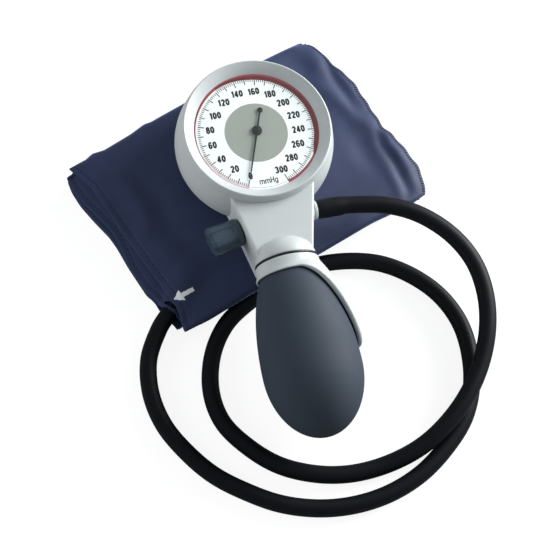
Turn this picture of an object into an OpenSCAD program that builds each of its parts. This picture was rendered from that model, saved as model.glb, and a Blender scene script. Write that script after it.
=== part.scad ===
// Aneroid sphygmomanometer: a palm-held gauge with its inflation bulb, lying on a folded arm cuff.
// Sizes are millimetres. The table is z = 0, and the origin is on it under the dial's centre.
// The gauge, the neck and the bulb share one frame: its origin is the centre of the dial's face,
// its y axis runs from the bulb to the dial and its z axis is the dial's normal.

/* [Gauge case] */
// Widest outer radius of the case
case_r = 38; // [37.5:0.5:39]
// Outer radius at the case's rim, under the bezel
rim_r = 35.4; // [35.2:0.1:36]
// Outer radius at the case's back
back_r = 34.5; // [33.5:0.5:36]
// Depth from the dial's face to the back of the case
case_depth = 26; // [26:0.5:28]
// Depth from the dial's face to the case's widest line
belly_depth = 14; // [12:1:16]
// Wall thickness of the case
case_wall = 2; // [1.8:0.1:2.2]

/* [Dial and bezel] */
// Radius of the dial that shows inside the bezel
dial_show_r = 29; // [28.5:0.1:29.3]
// Radius of the dial plate
dial_r = 31.5; // [31:0.1:32]
// Thickness of the dial plate
dial_t = 0.8; // [0.6:0.1:1]
// Height of the bezel above the dial
bezel_h = 4; // [4:0.5:6]
// Inner radius of the bezel's mouth
bezel_mouth_r = 33.3; // [33:0.1:33.6]
// Radius of the lens
lens_r = 32.3; // [32.1:0.1:32.4]
// Thickness of the lens
lens_t = 1; // [0.8:0.1:1.2]
// Height of the lens gasket's seat above the dial
lens_seat = 1.9; // [1.8:0.1:2]

/* [Pointer] */
// Length of the pointer from its centre to its tip
pointer_l = 25.5; // [24:0.5:27]
// Length of the pointer's tail
pointer_tail = 11; // [9:0.5:13]
// Radius of the pointer's hub
pointer_hub_r = 2.25; // [2:0.05:2.6]
// Angle from the top of the dial, turned leftwards, at which the pointer rests on 0
pointer_zero = 160; // [150:5:165]

/* [Movement] */
// Module of the gear teeth
gear_module = 0.35; // [0.34:0.005:0.36]
// Teeth on the pinion
pinion_teeth = 10; // [10:1:11]
// Teeth that the sector would have as a full wheel
sector_teeth = 80; // [78:1:81]
// Radius of the pinion's arbor
arbor_r = 0.6; // [0.5:0.05:0.7]
// Radius of the sector's arbor
sector_arbor_r = 0.7; // [0.6:0.05:0.8]
// Distance from the sector's arbor to its drive pin
tail_l = 3.9; // [3.8:0.1:4]
// Radius of the sector's drive pin
tail_pin_r = 0.5; // [0.4:0.05:0.6]
// Radius of the movement's base plate
plate_r = 29; // [28:0.5:30]
// Thickness of the movement's base plate
plate_t = 1.2; // [1:0.1:1.4]
// Radius of the rocker's shaft
rocker_r = 0.8; // [0.7:0.05:0.9]
// Length of the rocker arm that lies on the capsule
capsule_arm = 5; // [4.8:0.1:5.2]
// Height of the rocker arm that drives the sector
drive_arm = 5.6; // [5.5:0.05:5.7]
// Outer radius of the pressure capsule
capsule_r = 20; // [18:0.5:21]
// Thickness of the pressure capsule
capsule_t = 3.7; // [3.4:0.1:4]

/* [Neck] */
// Height of the neck's flat front below the dial's face
neck_front = 0.3; // [0.2:0.1:3]
// Half of the neck's width where it leaves the bezel
neck_top_half = 19.3; // [18:0.1:20]
// Half of the neck's width at its lower end
neck_low_half = 12.3; // [12:0.1:13]
// Distance from the dial's centre to the neck's wide end
neck_top = 28.9; // [28:0.1:29.5]
// Distance from the dial's centre to the neck's lower end
neck_end = 62.9; // [62.5:0.1:63.5]
// Depth of the bulb's axis below the dial's face
axis_depth = 5; // [4.5:0.5:6]
// Radius of the dome where the neck turns round
dome_r = 13.8; // [13:0.1:14.2]
// Radius of the air passages
duct_r = 1.9; // [1.5:0.1:2]

/* [Valve] */
// Outer radius of the valve's knob
knob_r = 7; // [6.5:0.1:7.5]
// Length of the valve's knob
knob_l = 14.5; // [14:0.5:17]
// Number of flutes round the knob
knob_flutes = 8; // [6:1:10]
// Radius of the valve's spindle
spindle_r = 1.6; // [1.5:0.05:1.8]
// Outer radius of the gland and of the seat
gland_r = 3.2; // [3:0.1:3.5]
// Opening of the valve's seat
seat_hole_r = 1; // [0.9:0.05:1.1]

/* [Bulb] */
// Largest radius of the bulb
bulb_r = 22.3; // [21.5:0.1:23]
// Distance from the dial's centre to the bulb's widest line
bulb_wide = 114.2; // [112:0.2:116]
// Length of the egg's upper half, to where it would close
bulb_upper = 56.6; // [56:0.1:58]
// Length of the egg's lower half
bulb_lower = 30.4; // [29:0.2:32]
// Wall thickness of the bulb
bulb_wall = 2.2; // [1.8:0.1:2.6]
// Radius of the nipple inside the bulb's mouth
nipple_r = 6.5; // [6.2:0.1:6.8]

/* [Spoon] */
// Outer radius of the spoon's collar
collar_r = 14.8; // [14.7:0.1:15.2]
// Height of the spoon's collar
collar_h = 6; // [5.5:0.1:6.5]
// Thickness of the spoon's arm
spoon_t = 2; // [1.8:0.1:2.4]
// Air gap between the spoon's arm and the bulb
spoon_gap = 0.8; // [0.6:0.1:1]
// Half of the width of the spoon's arm
spoon_half = 17.5; // [16:0.5:19]
// Distance from the dial's centre to the spoon's tip
spoon_tip = 111.5; // [106:0.5:114]
// Angle of the arm's middle behind the right side
spoon_turn = 10; // [0:1:15]

/* [Hose] */
// Outer diameter of the hose
hose_d = 8; // [7.6:0.1:8.2]
// Radius of the hose connector's collar
connector_r = 4.8; // [4.4:0.1:5]
// Distance from the neck's middle to the face that the hose meets
connector_end = 21.3; // [21:0.1:21.6]
// Radius of the spigots that hold the hose
spigot_r = 2.6; // [2.4:0.1:2.8]

/* [Cuff] */
// Width of the cuff, across its length when it is unfolded
cuff_w = 140; // [136:1:144]
// Depth of the folded cuff from its front fold to its rear fold
cuff_fold = 105.8; // [104:0.2:108]
// Thickness of the folded cuff at its front fold
cuff_front_t = 14; // [13.6:0.1:15]
// Thickness of the folded cuff at its rear fold
cuff_rear_t = 20; // [19:0.5:22]
// Gap between the cuff's folded layers
layer_gap = 0.4; // [0.3:0.05:0.5]
// Width of the air bladder, along the cuff's width
bladder_w = 118; // [110:1:122]
// Length of the air bladder inside its layer
bladder_l = 80; // [70:1:84]
// Thickness of the flat bladder
bladder_t = 1.3; // [1.1:0.1:1.4]
// Thickness of the hook and the loop panels
panel_t = 0.9; // [0.7:0.1:1]

/* [Hidden] */
$fn = 96;

// Clearances: a running shaft, a loose neighbour, a soft part against a hard one
run_gap = 0.05;
free_gap = 0.1;
soft_gap = 0.3;
// How far a cut runs past the surface that it opens
over = 1;

// Turn of the gauge about the row's x, y and z axes
gauge_turn = [5.4, 5.5, 13.5];
lean = acos(cos(gauge_turn[0]) * cos(gauge_turn[1]));
// Turn and place of the folded cuff
cuff_turn = 32.4;
cuff_left = -76;
cuff_rear_y = 50.1;
cuff_front_y = cuff_rear_y - cuff_fold;
// Distance from the cuff's middle line to where the gauge's low edge presses, and how deep
press_y = -27.4;
press_sink = 1;
dial_height = case_depth * cos(lean) + back_r * sin(lean) + cuff_top(press_y) - press_sink;

// Heights in the gauge frame, from the back of the case up
floor_t = 2;
floor_n = -case_depth + floor_t;
rib_h = 4.6;
rib_w = 7;
rib_n = floor_n + rib_h;
rib_duct_r = 1.2;
rib_well_r = 2;
rib_duct_n = floor_n + rib_h / 2;
flange_t = 0.5;
capsule_n = rib_n + flange_t;
capsule_top = capsule_n + capsule_t;
capsule_flat_r = 4;
capsule_rim = 1.5;
capsule_wave = 4.5;
stud_pad_t = 0.6;
stud_h = 1;
stud_top = capsule_top + stud_pad_t + stud_h;
finger_r = 0.6;
gasket_t = 0.5;
rocker_n = stud_top + free_gap + finger_r;
plate_low = rocker_n + 3.5;
plate_top = plate_low + plate_t;
collet_r = arbor_r + 0.7;
collet_n = plate_top + 0.25;
collet_h = 0.6;
spring_n = collet_n + 0.1;
spring_h = 0.4;
spring_strip = 0.2;
spring_turns = 3;
spring_out = 5.9;
stud_r = 0.7;
sector_n = plate_top + 1.7;
sector_t = 1;
pinion_n = sector_n - 0.5;
pinion_h = 1.7;
bridge_n = pinion_n + pinion_h + 0.2;
bridge_t = 1;
pointer_n = 1.4;
pointer_t = 0.4;
hub_t = 0.8;

// Movement geometry
axle_gap = 0.03;
pressure_angle = 20;
backlash = 0.02;
pinion_pitch_r = gear_module * pinion_teeth / 2;
sector_pitch_r = gear_module * sector_teeth / 2;
centre_distance = pinion_pitch_r + sector_pitch_r;
sector_first = -10;
sector_last = 1;
sector_swing = 40;
hub_r = 2.2;
rocker_y = 5;
ear_w = 1.5;
ears = [-7, 12];
tail_rest = -sector_swing / 2;
pin_rest_y = rocker_y + finger_r + tail_pin_r + 0.07;
sector_bearing = asin((pin_rest_y - tail_l * sin(tail_rest)) / centre_distance);
sector_x = centre_distance * cos(sector_bearing);
sector_y = centre_distance * sin(sector_bearing);
pin_rest_x = sector_x + tail_l * cos(tail_rest);
rocker_low = ears[0] - 2;
rocker_high = pin_rest_x + 1;
spring_in = collet_r + axle_gap;
pillar_r = 1.8;
pillar_ring = 26.5;
pillar_angles = [90, 210, 330];
screw_r = 1;
head_r = 1.9;
head_t = 1.2;
plate_screw_l = 6;
post_r = 1.3;
post_low = -12;
post_high = 23;
bridge_w = 7;

// Neck geometry
neck_taper = (neck_top_half - neck_low_half) / (neck_end - neck_top);
neck_back = floor_n;
dome_up = 0.9;
neck_screw_n = neck_back + 5.4;
neck_screw_y = 6 - case_r;
neck_screw_l = 14;
junction = [0, -case_r - 1.5, -10];
valve_turn = 193;
valve_face = neck_half(-junction[1] + 3.8) / cos(valve_turn - 180);
socket_r = 7;
nipple_top = 57.5;
socket_top = nipple_top - 2;
seal_t = 1;
collar_top = neck_end + seal_t + free_gap;
collar_lid = 0.9;
bulb_top = collar_top + collar_lid + 0.2;
nipple_end = bulb_top + 14.9;
outlet_r = 1.2;
outlet_off = 2.4;
inlet_r = 1.3;
inlet_off = -4;
inlet_n = nipple_top + 1.4;
disc_t = 0.8;
pocket_w = 16;
pocket_top = junction[1] - 6.5;
pocket_low = -neck_end + 2.9;
pocket_d = 3.5;
cover_t = 1.5;
cover_edge = 3;
filter_t = 1.4;
connector_in = 12;
connector_stem_r = 3.4;

// Places along the valve's axis, from the junction outwards
seat_z = 4;
seat_t = 2;
gland_z = 9.5;
ring_t = 1.5;
spindle_z = gland_z + 1.5;
knob_z = valve_face + 1;

// Cuff geometry
layers = 5;
front_mean = cuff_front_t + layer_gap;
rear_mean = cuff_rear_t + layer_gap;
top_fold_y = cuff_front_y + front_mean / layers - layer_gap / 2;
low_fold_y = top_fold_y + 5.7;
rear_fold_y = cuff_rear_y - rear_mean / layers + layer_gap / 2;
bottom_end_y = low_fold_y - 1.5;
top_end_y = rear_fold_y + 1.5;
bladder_layer = 2;
bladder_left = cuff_left + 10;
bladder_rear = 43;
bladder_front = bladder_rear - bladder_l;
bladder_skin = (layer_z(1, bladder_front) - layer_gap - bladder_t) / 2;
// The fastening panels are let into the faces that meet when the cuff is wrapped
panel_rear = 40;
hook_front = -10;
loop_front = -45;
panel_left = cuff_left + 20;
panel_w = 96;
port = [-37, -68, 6.5];
port_turn = [0, 87, 60];
port_l = 7;
port_r = 3.2;
port_room = 30;
spigot_l = 8;

// The hose's middle line, from the connector to the cuff's port. It lies on the table at height lie.
lie = 4.1;
HOSE = [
    [28.3, -32.6, 29.3], [36, -30.8, 28.6], [45, -29.5, 28], [61, -29.5, 27], [76, -33.5, 25.5],
    [90, -42.5, 23.5], [100, -55, 21.5], [105, -70, 19], [105.5, -86, 16.5], [102, -102, 14],
    [95, -117, 12.5], [85, -130, 10.5], [73, -140, 7.5], [58, -147, 4.5], [42, -151, lie],
    [26, -151, lie], [10, -147, lie], [-4, -138.5, lie], [-15.5, -127, lie], [-21, -112, lie],
    [-20.5, -95, lie], [-14.5, -80, lie], [-3.5, -68.5, lie], [10, -58.5, lie], [25, -51, lie],
    [41, -48, lie], [57.5, -49, lie], [72.5, -55, lie], [85.5, -65, lie], [94.5, -78.5, lie],
    [98.5, -94, lie], [98.5, -110.5, lie], [94, -126, lie], [84.5, -140, lie], [73, -151.5, lie],
    [59, -160, lie], [43.5, -165, lie], [27.5, -166.5, lie], [11, -164.5, lie], [-4.5, -159, lie],
    [-19, -151.5, lie], [-31.5, -141, lie], [-42, -128.5, lie], [-48.5, -113.5, lie],
    [-50, -97.5, 4.4], [-45.8, -83.2, 5.5], [-41, -74.9, 6.1], port
];
hose_sides = 12;

// Colours
shell_white = [0.86, 0.88, 0.87];
knob_blue = [0.25, 0.34, 0.42];
rubber_slate = [0.2, 0.23, 0.27];
cuff_navy = [0.12, 0.13, 0.22];

// Half the neck's width at a distance below the dial's centre
function neck_half(d) = neck_top_half - neck_taper * (d - neck_top);

// Thickness of the folded cuff at a place y along its depth
function cuff_top(y) = cuff_front_t
    + (cuff_rear_t - cuff_front_t) * (y - cuff_front_y) / (cuff_rear_y - cuff_front_y);

// Height of the underside of layer i of the cuff at a place y
function layer_z(i, y) = i * (cuff_top(y) + layer_gap) / layers;

// Radius of the bulb's outside, less an inset, at a distance z below the dial's centre
function egg(z, inset = 0) = z < bulb_wide
    ? (bulb_r - inset) * sqrt(max(0, 1 - pow((bulb_wide - z) / (bulb_upper - inset), 2)))
    : (bulb_r - inset) * sqrt(max(0, 1 - pow((z - bulb_wide) / (bulb_lower - inset), 2)));

// Involute tooth: the polar angle between the tooth's middle and its flank at radius r
function roll(r, base_r) = let (c = min(1, base_r / r)) tan(acos(c)) * 180 / PI - acos(c);
function flank(r, pitch_r, teeth) =
    let (base_r = pitch_r * cos(pressure_angle))
    90 / teeth - backlash / pitch_r * 180 / PI + roll(pitch_r, base_r) - roll(max(r, base_r), base_r);
function polar(r, a) = [r * cos(a), r * sin(a)];
// The points of one tooth about the angle mid, from its root to its tip and back
function tooth(root_r, tip_r, pitch_r, teeth, mid) =
    let (steps = 5, radii = [for (i = [0 : steps]) root_r + (tip_r - root_r) * i / steps])
    concat(
        [for (r = radii) polar(r, mid - flank(r, pitch_r, teeth))],
        [for (i = [steps : -1 : 0]) polar(radii[i], mid + flank(radii[i], pitch_r, teeth))]
    );

// Rings of points round a route, each ring square to the route's direction there
function unit(v) = v / norm(v);
function heading(path, i) = unit(path[min(i + 1, len(path) - 1)] - path[max(i - 1, 0)]);
function ring(path, i, r, sides) =
    let (d = heading(path, i), side = unit(cross([0, 0, 1], d)), up = cross(d, side))
    [for (k = [0 : sides - 1]) path[i] + r * (cos(360 * k / sides) * side + sin(360 * k / sides) * up)];

module swept_tube(path, r, sides) {
    last = (len(path) - 1) * sides;
    points = [for (i = [0 : len(path) - 1]) each ring(path, i, r, sides)];
    walls = [for (i = [0 : len(path) - 2], k = [0 : sides - 1])
        each [[i * sides + k, i * sides + (k + 1) % sides, (i + 1) * sides + k],
              [i * sides + (k + 1) % sides, (i + 1) * sides + (k + 1) % sides, (i + 1) * sides + k]]];
    start = [for (k = [1 : sides - 2]) [0, k + 1, k]];
    finish = [for (k = [1 : sides - 2]) [last, last + k, last + k + 1]];
    polyhedron(points, concat(walls, start, finish));
}

// Frames
module in_gauge() {
    translate([0, 0, dial_height]) rotate(gauge_turn) children();
}

// Local z runs down the bulb's axis, from the dial's centre line towards the bulb
module down_axis() {
    in_gauge() translate([0, 0, -axis_depth]) rotate([90, 0, 0]) children();
}

// Local z runs out of the neck's left side, from the junction of the air passages
module in_valve() {
    in_gauge() translate(junction) rotate([0, 0, valve_turn]) rotate([0, 90, 0]) children();
}

module in_cuff() {
    rotate([0, 0, cuff_turn]) children();
}

module in_port() {
    translate(port) rotate(port_turn) children();
}

module tube(r_out, r_in, z0, z1) {
    difference() {
        translate([0, 0, z0]) cylinder(r = r_out, h = z1 - z0);
        translate([0, 0, z0 - over]) cylinder(r = r_in, h = z1 - z0 + 2 * over);
    }
}

module rod(r, z0, z1) {
    translate([0, 0, z0]) cylinder(r = r, h = z1 - z0);
}

// A pan-head screw whose head sits on z = 0 and whose shank points down
module pan_screw(shank_l) {
    rod(screw_r, -shank_l, 0);
    difference() {
        rod(head_r, 0, head_t);
        translate([-head_r, -0.3, head_t - 0.5]) cube([2 * head_r, 0.6, over]);
    }
}

// The case's outline, grown by a clearance
module case_outline(grow = 0) {
    rotate_extrude() polygon([
        [0, -case_depth - grow], [back_r - 1.2 + grow, -case_depth - grow],
        [back_r + grow, -case_depth + 1], [case_r - 0.8 + grow, -case_depth + 6],
        [case_r + grow, -belly_depth], [case_r - 0.6 + grow, -belly_depth + 6],
        [rim_r + grow, 0], [0, 0]
    ]);
}

module case_hollow() {
    seat_r = dial_r + free_gap;
    ledge_r = dial_r - 1.6;
    rotate_extrude() polygon([
        [0, floor_n], [back_r - case_wall, floor_n], [case_r - 0.8 - case_wall, -case_depth + 6],
        [case_r - case_wall, -belly_depth], [case_r - 0.6 - case_wall, -belly_depth + 6],
        [rim_r - case_wall, -dial_t - 4], [ledge_r, -dial_t - 1.4], [ledge_r, -dial_t],
        [seat_r, -dial_t], [seat_r, over], [0, over]
    ]);
}

module neck_screw_places() {
    for (side = [-1, 1]) translate([side * 12, neck_screw_y, neck_screw_n]) rotate([90, 0, 0]) children();
}

module gauge_case() {
    color(shell_white) in_gauge() difference() {
        union() {
            difference() {
                case_outline();
                case_hollow();
            }
            intersection() {
                case_outline();
                union() {
                    translate([-rib_w / 2, -case_r, floor_n - over]) cube([rib_w, case_r + 4, rib_h + over]);
                    neck_screw_places() rod(2.6, 0, 6);
                }
            }
        }
        translate([0, 0, rib_duct_n]) rotate([90, 0, 0]) rod(rib_duct_r, 0, case_r + over);
        rod(rib_well_r, rib_duct_n - rib_duct_r - 0.4, rib_n + over);
        neck_screw_places() rod(screw_r, -over, 8);
    }
}

module bezel_ring() {
    cone = (bezel_mouth_r - dial_show_r) / bezel_h;
    groove_r = lens_r + free_gap;
    lens_top = lens_seat + gasket_t + lens_t;
    color(shell_white) in_gauge() rotate_extrude() polygon([
        [dial_show_r, 0], [dial_show_r + cone * lens_seat, lens_seat], [groove_r, lens_seat],
        [groove_r, lens_top], [max(groove_r, dial_show_r + cone * lens_top) + 0.1, lens_top],
        [bezel_mouth_r, bezel_h], [bezel_mouth_r + 0.4, bezel_h + 0.3],
        [bezel_mouth_r + 0.8, bezel_h + 0.2], [bezel_mouth_r + 1.1, bezel_h - 0.3], [rim_r, 0]
    ]);
}

module lens_gasket() {
    color("gray") in_gauge() tube(lens_r, lens_r - 0.8, lens_seat, lens_seat + gasket_t);
}

module lens() {
    color([0.9, 0.95, 1, 0.3]) in_gauge() rod(lens_r, lens_seat + gasket_t, lens_seat + gasket_t + lens_t);
}

module dial_plate() {
    color("white") in_gauge() tube(dial_r, arbor_r + 0.4, -dial_t, 0);
}

module pointer() {
    tip_half = 0.15;
    root_half = 0.75;
    color([0.05, 0.05, 0.05]) in_gauge() rotate([0, 0, pointer_zero]) difference() {
        union() {
            rod(pointer_hub_r, pointer_n - 0.2, pointer_n - 0.2 + hub_t);
            translate([0, 0, pointer_n]) linear_extrude(pointer_t) polygon([
                [-root_half, -pointer_tail], [root_half, -pointer_tail],
                [root_half, pointer_l * 0.75], [tip_half, pointer_l], [-tip_half, pointer_l],
                [-root_half, pointer_l * 0.75]
            ]);
            translate([0, -pointer_tail, 0]) rod(1.2, pointer_n, pointer_n + pointer_t);
        }
        rod(arbor_r, 0, 4);
    }
}

module pinion_arbor() {
    mesh = [for (k = [0 : pinion_teeth - 1])
        each tooth(pinion_pitch_r - 0.67 * gear_module, pinion_pitch_r + gear_module, pinion_pitch_r,
            pinion_teeth, sector_bearing + (k + 0.5) * 360 / pinion_teeth)];
    color("goldenrod") in_gauge() {
        rod(arbor_r, plate_low - 0.5, pointer_n + hub_t);
        rod(collet_r, collet_n, collet_n + collet_h);
        translate([0, 0, pinion_n]) linear_extrude(pinion_h) polygon(mesh);
    }
}

function spiral(a, off) = polar(spring_in + off + (spring_out - spring_in) * a / (360 * spring_turns), a);

module hairspring() {
    steps = 24 * spring_turns;
    color("silver") in_gauge() translate([0, 0, spring_n]) linear_extrude(spring_h) polygon(concat(
        [for (i = [0 : steps]) spiral(360 * spring_turns * i / steps, 0)],
        [for (i = [steps : -1 : 0]) spiral(360 * spring_turns * i / steps, spring_strip)]
    ));
}

module hairspring_stud() {
    color("goldenrod") in_gauge() translate([spring_out + spring_strip + stud_r + axle_gap, 0, 0])
        rod(stud_r, plate_top, collet_n + collet_h);
}

// The bridge's long axis points from the pinion to the sector's arbor
module along_bridge(x) {
    rotate([0, 0, sector_bearing]) translate([x, 0, 0]) children();
}

module pillar_places() {
    for (a = pillar_angles) rotate([0, 0, a]) translate([pillar_ring, 0, 0]) children();
}

module movement_plate() {
    slot_w = 3;
    color("goldenrod") in_gauge() difference() {
        rod(plate_r, plate_low, plate_top);
        rod(arbor_r + axle_gap, plate_low - over, plate_top + over);
        along_bridge(centre_distance) rod(sector_arbor_r + axle_gap, plate_low - over, plate_top + over);
        pillar_places() rod(screw_r, plate_low - over, plate_top + over);
        translate([pin_rest_x - slot_w / 2, rocker_y - 1.2, plate_low - over])
            cube([slot_w, 5.5, plate_t + 2 * over]);
    }
}

module plate_pillars() {
    color("silver") in_gauge() pillar_places() tube(pillar_r, screw_r, floor_n, plate_low);
}

module plate_screws() {
    color("silver") in_gauge() pillar_places() translate([0, 0, plate_top]) pan_screw(plate_screw_l);
}

module movement_bridge() {
    color("goldenrod") in_gauge() difference() {
        union() {
            along_bridge(post_low) rod(bridge_w / 2, bridge_n, bridge_n + bridge_t);
            along_bridge(post_high) rod(bridge_w / 2, bridge_n, bridge_n + bridge_t);
            along_bridge(post_low) translate([0, -bridge_w / 2, bridge_n])
                cube([post_high - post_low, bridge_w, bridge_t]);
        }
        rod(arbor_r + axle_gap, bridge_n - over, bridge_n + bridge_t + over);
        along_bridge(centre_distance)
            rod(sector_arbor_r + axle_gap, bridge_n - over, bridge_n + bridge_t + over);
        for (x = [post_low, post_high]) along_bridge(x) rod(0.7, bridge_n - over, bridge_n + bridge_t + over);
    }
}

module bridge_posts() {
    color("silver") in_gauge() for (x = [post_low, post_high])
        along_bridge(x) tube(post_r, 0.7, plate_top, bridge_n);
}

module bridge_screws() {
    color("silver") in_gauge() for (x = [post_low, post_high]) along_bridge(x) {
        rod(0.7, bridge_n - 2.5, bridge_n + bridge_t);
        rod(1.5, bridge_n + bridge_t, bridge_n + bridge_t + 0.5);
    }
}

module sector_gear() {
    tooth_step = 360 / sector_teeth;
    root_r = sector_pitch_r - 1.2 * gear_module;
    inner_r = (hub_r + sector_arbor_r) / 2;
    facing = sector_bearing + 180;
    low = facing + (sector_first - 0.8) * tooth_step;
    high = facing + (sector_last + 0.8) * tooth_step;
    mesh = [for (k = [sector_first : sector_last])
        each tooth(root_r, sector_pitch_r + 0.6 * gear_module, sector_pitch_r, sector_teeth,
            facing + k * tooth_step)];
    window = concat(
        [for (i = [0 : 8]) polar(root_r - 2.5, low + 6 + (high - low - 12) * i / 8)],
        [for (i = [8 : -1 : 0]) polar(hub_r + 2.5, low + 10 + (high - low - 20) * i / 8)]
    );
    color("goldenrod") in_gauge() translate([sector_x, sector_y, 0]) difference() {
        union() {
            translate([0, 0, sector_n]) linear_extrude(sector_t)
                polygon(concat([polar(inner_r, low), polar(root_r, low)], mesh,
                    [polar(root_r, high), polar(inner_r, high)]));
            rod(hub_r, sector_n, sector_n + sector_t);
            rotate([0, 0, tail_rest]) {
                translate([inner_r, -1, sector_n]) cube([tail_l - inner_r, 2, sector_t]);
                translate([tail_l, 0, 0]) rod(1, sector_n, sector_n + sector_t);
                translate([tail_l, 0, 0]) rod(tail_pin_r, plate_top + 0.2, sector_n);
            }
        }
        rod(sector_arbor_r, sector_n - over, sector_n + sector_t + over);
        translate([0, 0, sector_n - over]) linear_extrude(sector_t + 2 * over) polygon(window);
    }
}

module sector_arbor() {
    color("silver") in_gauge() translate([sector_x, sector_y, 0])
        rod(sector_arbor_r, plate_low + free_gap, bridge_n + bridge_t + 0.5);
}

// Local z runs along the rocker's shaft
module on_rocker(x) {
    translate([x, rocker_y, rocker_n]) rotate([0, 90, 0]) children();
}

module rocker_shaft() {
    arm_w = 2;
    arm_t = finger_r;
    color("silver") in_gauge() {
        on_rocker(rocker_low) rod(rocker_r, 0, rocker_high - rocker_low);
        for (x = [0, pin_rest_x]) on_rocker(x - arm_w / 2) rod(1.5, 0, arm_w);
        translate([-arm_w / 2, rocker_y - capsule_arm, rocker_n - arm_t / 2])
            cube([arm_w, capsule_arm, arm_t]);
        translate([-arm_w / 2, rocker_y - capsule_arm, rocker_n]) rotate([0, 90, 0]) rod(finger_r, 0, arm_w);
        translate([pin_rest_x - arm_w / 2, rocker_y - arm_t / 2, rocker_n])
            cube([arm_w, arm_t, drive_arm]);
        translate([pin_rest_x - arm_w / 2, rocker_y, rocker_n + drive_arm])
            rotate([0, 90, 0]) rod(finger_r, 0, arm_w);
    }
}

module rocker_brackets() {
    ear_half = 2;
    foot_t = 0.8;
    color("silver") in_gauge() for (x = ears) difference() {
        union() {
            translate([x, rocker_y - ear_half, rocker_n]) cube([ear_w, 2 * ear_half, plate_low - rocker_n]);
            on_rocker(x) rod(ear_half, 0, ear_w);
            translate([x, rocker_y - ear_half, plate_low - foot_t]) cube([4, 2 * ear_half, foot_t]);
        }
        on_rocker(x - over) rod(rocker_r + axle_gap, 0, ear_w + 2 * over);
    }
}

// Half the thickness of the capsule at radius r, with its ring-shaped waves
function capsule_half(r) = r < capsule_flat_r ? capsule_t / 2 : r > capsule_r - capsule_rim ? 0.5
    : capsule_t / 2 - 0.45 + 0.3 * cos((r - capsule_flat_r) * 360 / capsule_wave);

module pressure_capsule() {
    mid = capsule_n + capsule_t / 2;
    skin = 0.35;
    wave_end = capsule_r - capsule_rim - capsule_flat_r;
    radii = concat([0, capsule_flat_r - 0.1],
        [for (i = [0 : 28]) capsule_flat_r + (wave_end - capsule_flat_r) * i / 28],
        [capsule_r - capsule_rim + 0.1, capsule_r]);
    hollow = [for (r = radii) if (r < capsule_r - capsule_rim) r];
    color("peru") in_gauge() difference() {
        rotate_extrude() polygon(concat(
            [for (r = radii) [r, mid - capsule_half(r)]],
            [for (i = [len(radii) - 1 : -1 : 0]) [radii[i], mid + capsule_half(radii[i])]]
        ));
        rotate_extrude() polygon(concat(
            [for (r = hollow) [r, mid - capsule_half(r) + skin]],
            [for (i = [len(hollow) - 1 : -1 : 0]) [hollow[i], mid + capsule_half(hollow[i]) - skin]]
        ));
        rod(0.8, capsule_n - over, mid);
    }
}

module capsule_stud() {
    color("goldenrod") in_gauge() {
        rod(3, capsule_top, capsule_top + stud_pad_t);
        rod(0.9, capsule_top, stud_top);
    }
}

module capsule_spigot() {
    color("goldenrod") in_gauge() difference() {
        union() {
            rod(3.5, rib_n, capsule_n);
            rod(rib_well_r, rib_duct_n + rib_duct_r, rib_n);
        }
        rod(0.8, rib_duct_n, capsule_n + over);
    }
}

// The neck's straight part, from n0 to n1
module neck_prism(n0 = neck_back - over, n1 = over) {
    translate([0, 0, n0]) linear_extrude(n1 - n0) polygon([
        [-neck_top_half, -neck_top], [-neck_low_half, -neck_end],
        [neck_low_half, -neck_end], [neck_top_half, -neck_top]
    ]);
}

module neck_body() {
    color(shell_white) difference() {
        in_gauge() union() {
            neck_prism(neck_back, -neck_front);
            intersection() {
                translate([0, -neck_end + dome_up, -axis_depth]) rotate([90, 0, 0]) sphere(r = dome_r);
                translate([-dome_r, -neck_end, -axis_depth - dome_r])
                    cube([2 * dome_r, 2 * dome_r, 2 * dome_r]);
            }
        }
        in_gauge() {
            case_outline();
            neck_screw_places() rod(screw_r, -over, neck_screw_l);
            translate([0, 0, rib_duct_n]) rotate([90, 0, 0]) rod(rib_duct_r, 0, -junction[1]);
            translate([0, junction[1], 0]) rod(rib_duct_r, rib_duct_n, junction[2]);
            translate([0, 0, junction[2]]) rotate([90, 0, 0]) rod(duct_r, -junction[1], socket_top + over);
            translate(junction) rotate([0, 90, 0]) rod(duct_r, 0, connector_in + over);
            translate(junction) rotate([0, 90, 0]) rod(connector_stem_r, connector_in, neck_top_half + over);
            translate([-pocket_w / 2, pocket_low, neck_back - over])
                cube([pocket_w, pocket_top - pocket_low, pocket_d + over]);
            translate([-pocket_w / 2 - cover_edge, pocket_low, neck_back - over])
                cube([pocket_w + 2 * cover_edge, pocket_top - pocket_low + cover_edge, cover_t + over]);
            cover_screw_places() rod(0.8, -over, 5);
            translate([0, -inlet_n, 0]) rod(inlet_r, neck_back, -axis_depth - socket_r + over);
        }
        in_valve() {
            rod(duct_r, 0, seat_z + over);
            rod(gland_r, seat_z, valve_face + 6);
        }
        down_axis() rod(socket_r, socket_top, neck_end + over);
    }
}

module neck_screws() {
    color("silver") in_gauge() neck_screw_places() rotate([180, 0, 0]) pan_screw(neck_screw_l);
}

module cover_screw_places() {
    for (side = [-1, 1]) translate([side * (pocket_w / 2 + 1.4), pocket_top - 5, neck_back + cover_t])
        children();
}

module neck_cover() {
    slots = 4;
    slot_pitch = (pocket_top - pocket_low - 4.4) / slots;
    color(shell_white) in_gauge() difference() {
        translate([-pocket_w / 2 - cover_edge, pocket_low, neck_back])
            cube([pocket_w + 2 * cover_edge, pocket_top - pocket_low + cover_edge, cover_t]);
        cover_screw_places() rod(0.8, -cover_t - over, over);
        for (i = [0 : slots - 1]) translate([-5, pocket_low + 3 + slot_pitch * i, neck_back - over])
            cube([10, 1, cover_t + 2 * over]);
    }
}

module cover_screws() {
    color("silver") in_gauge() cover_screw_places() {
        rod(0.8, -cover_t, 4);
        rod(1.4, -cover_t - 0.6, -cover_t);
    }
}

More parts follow.
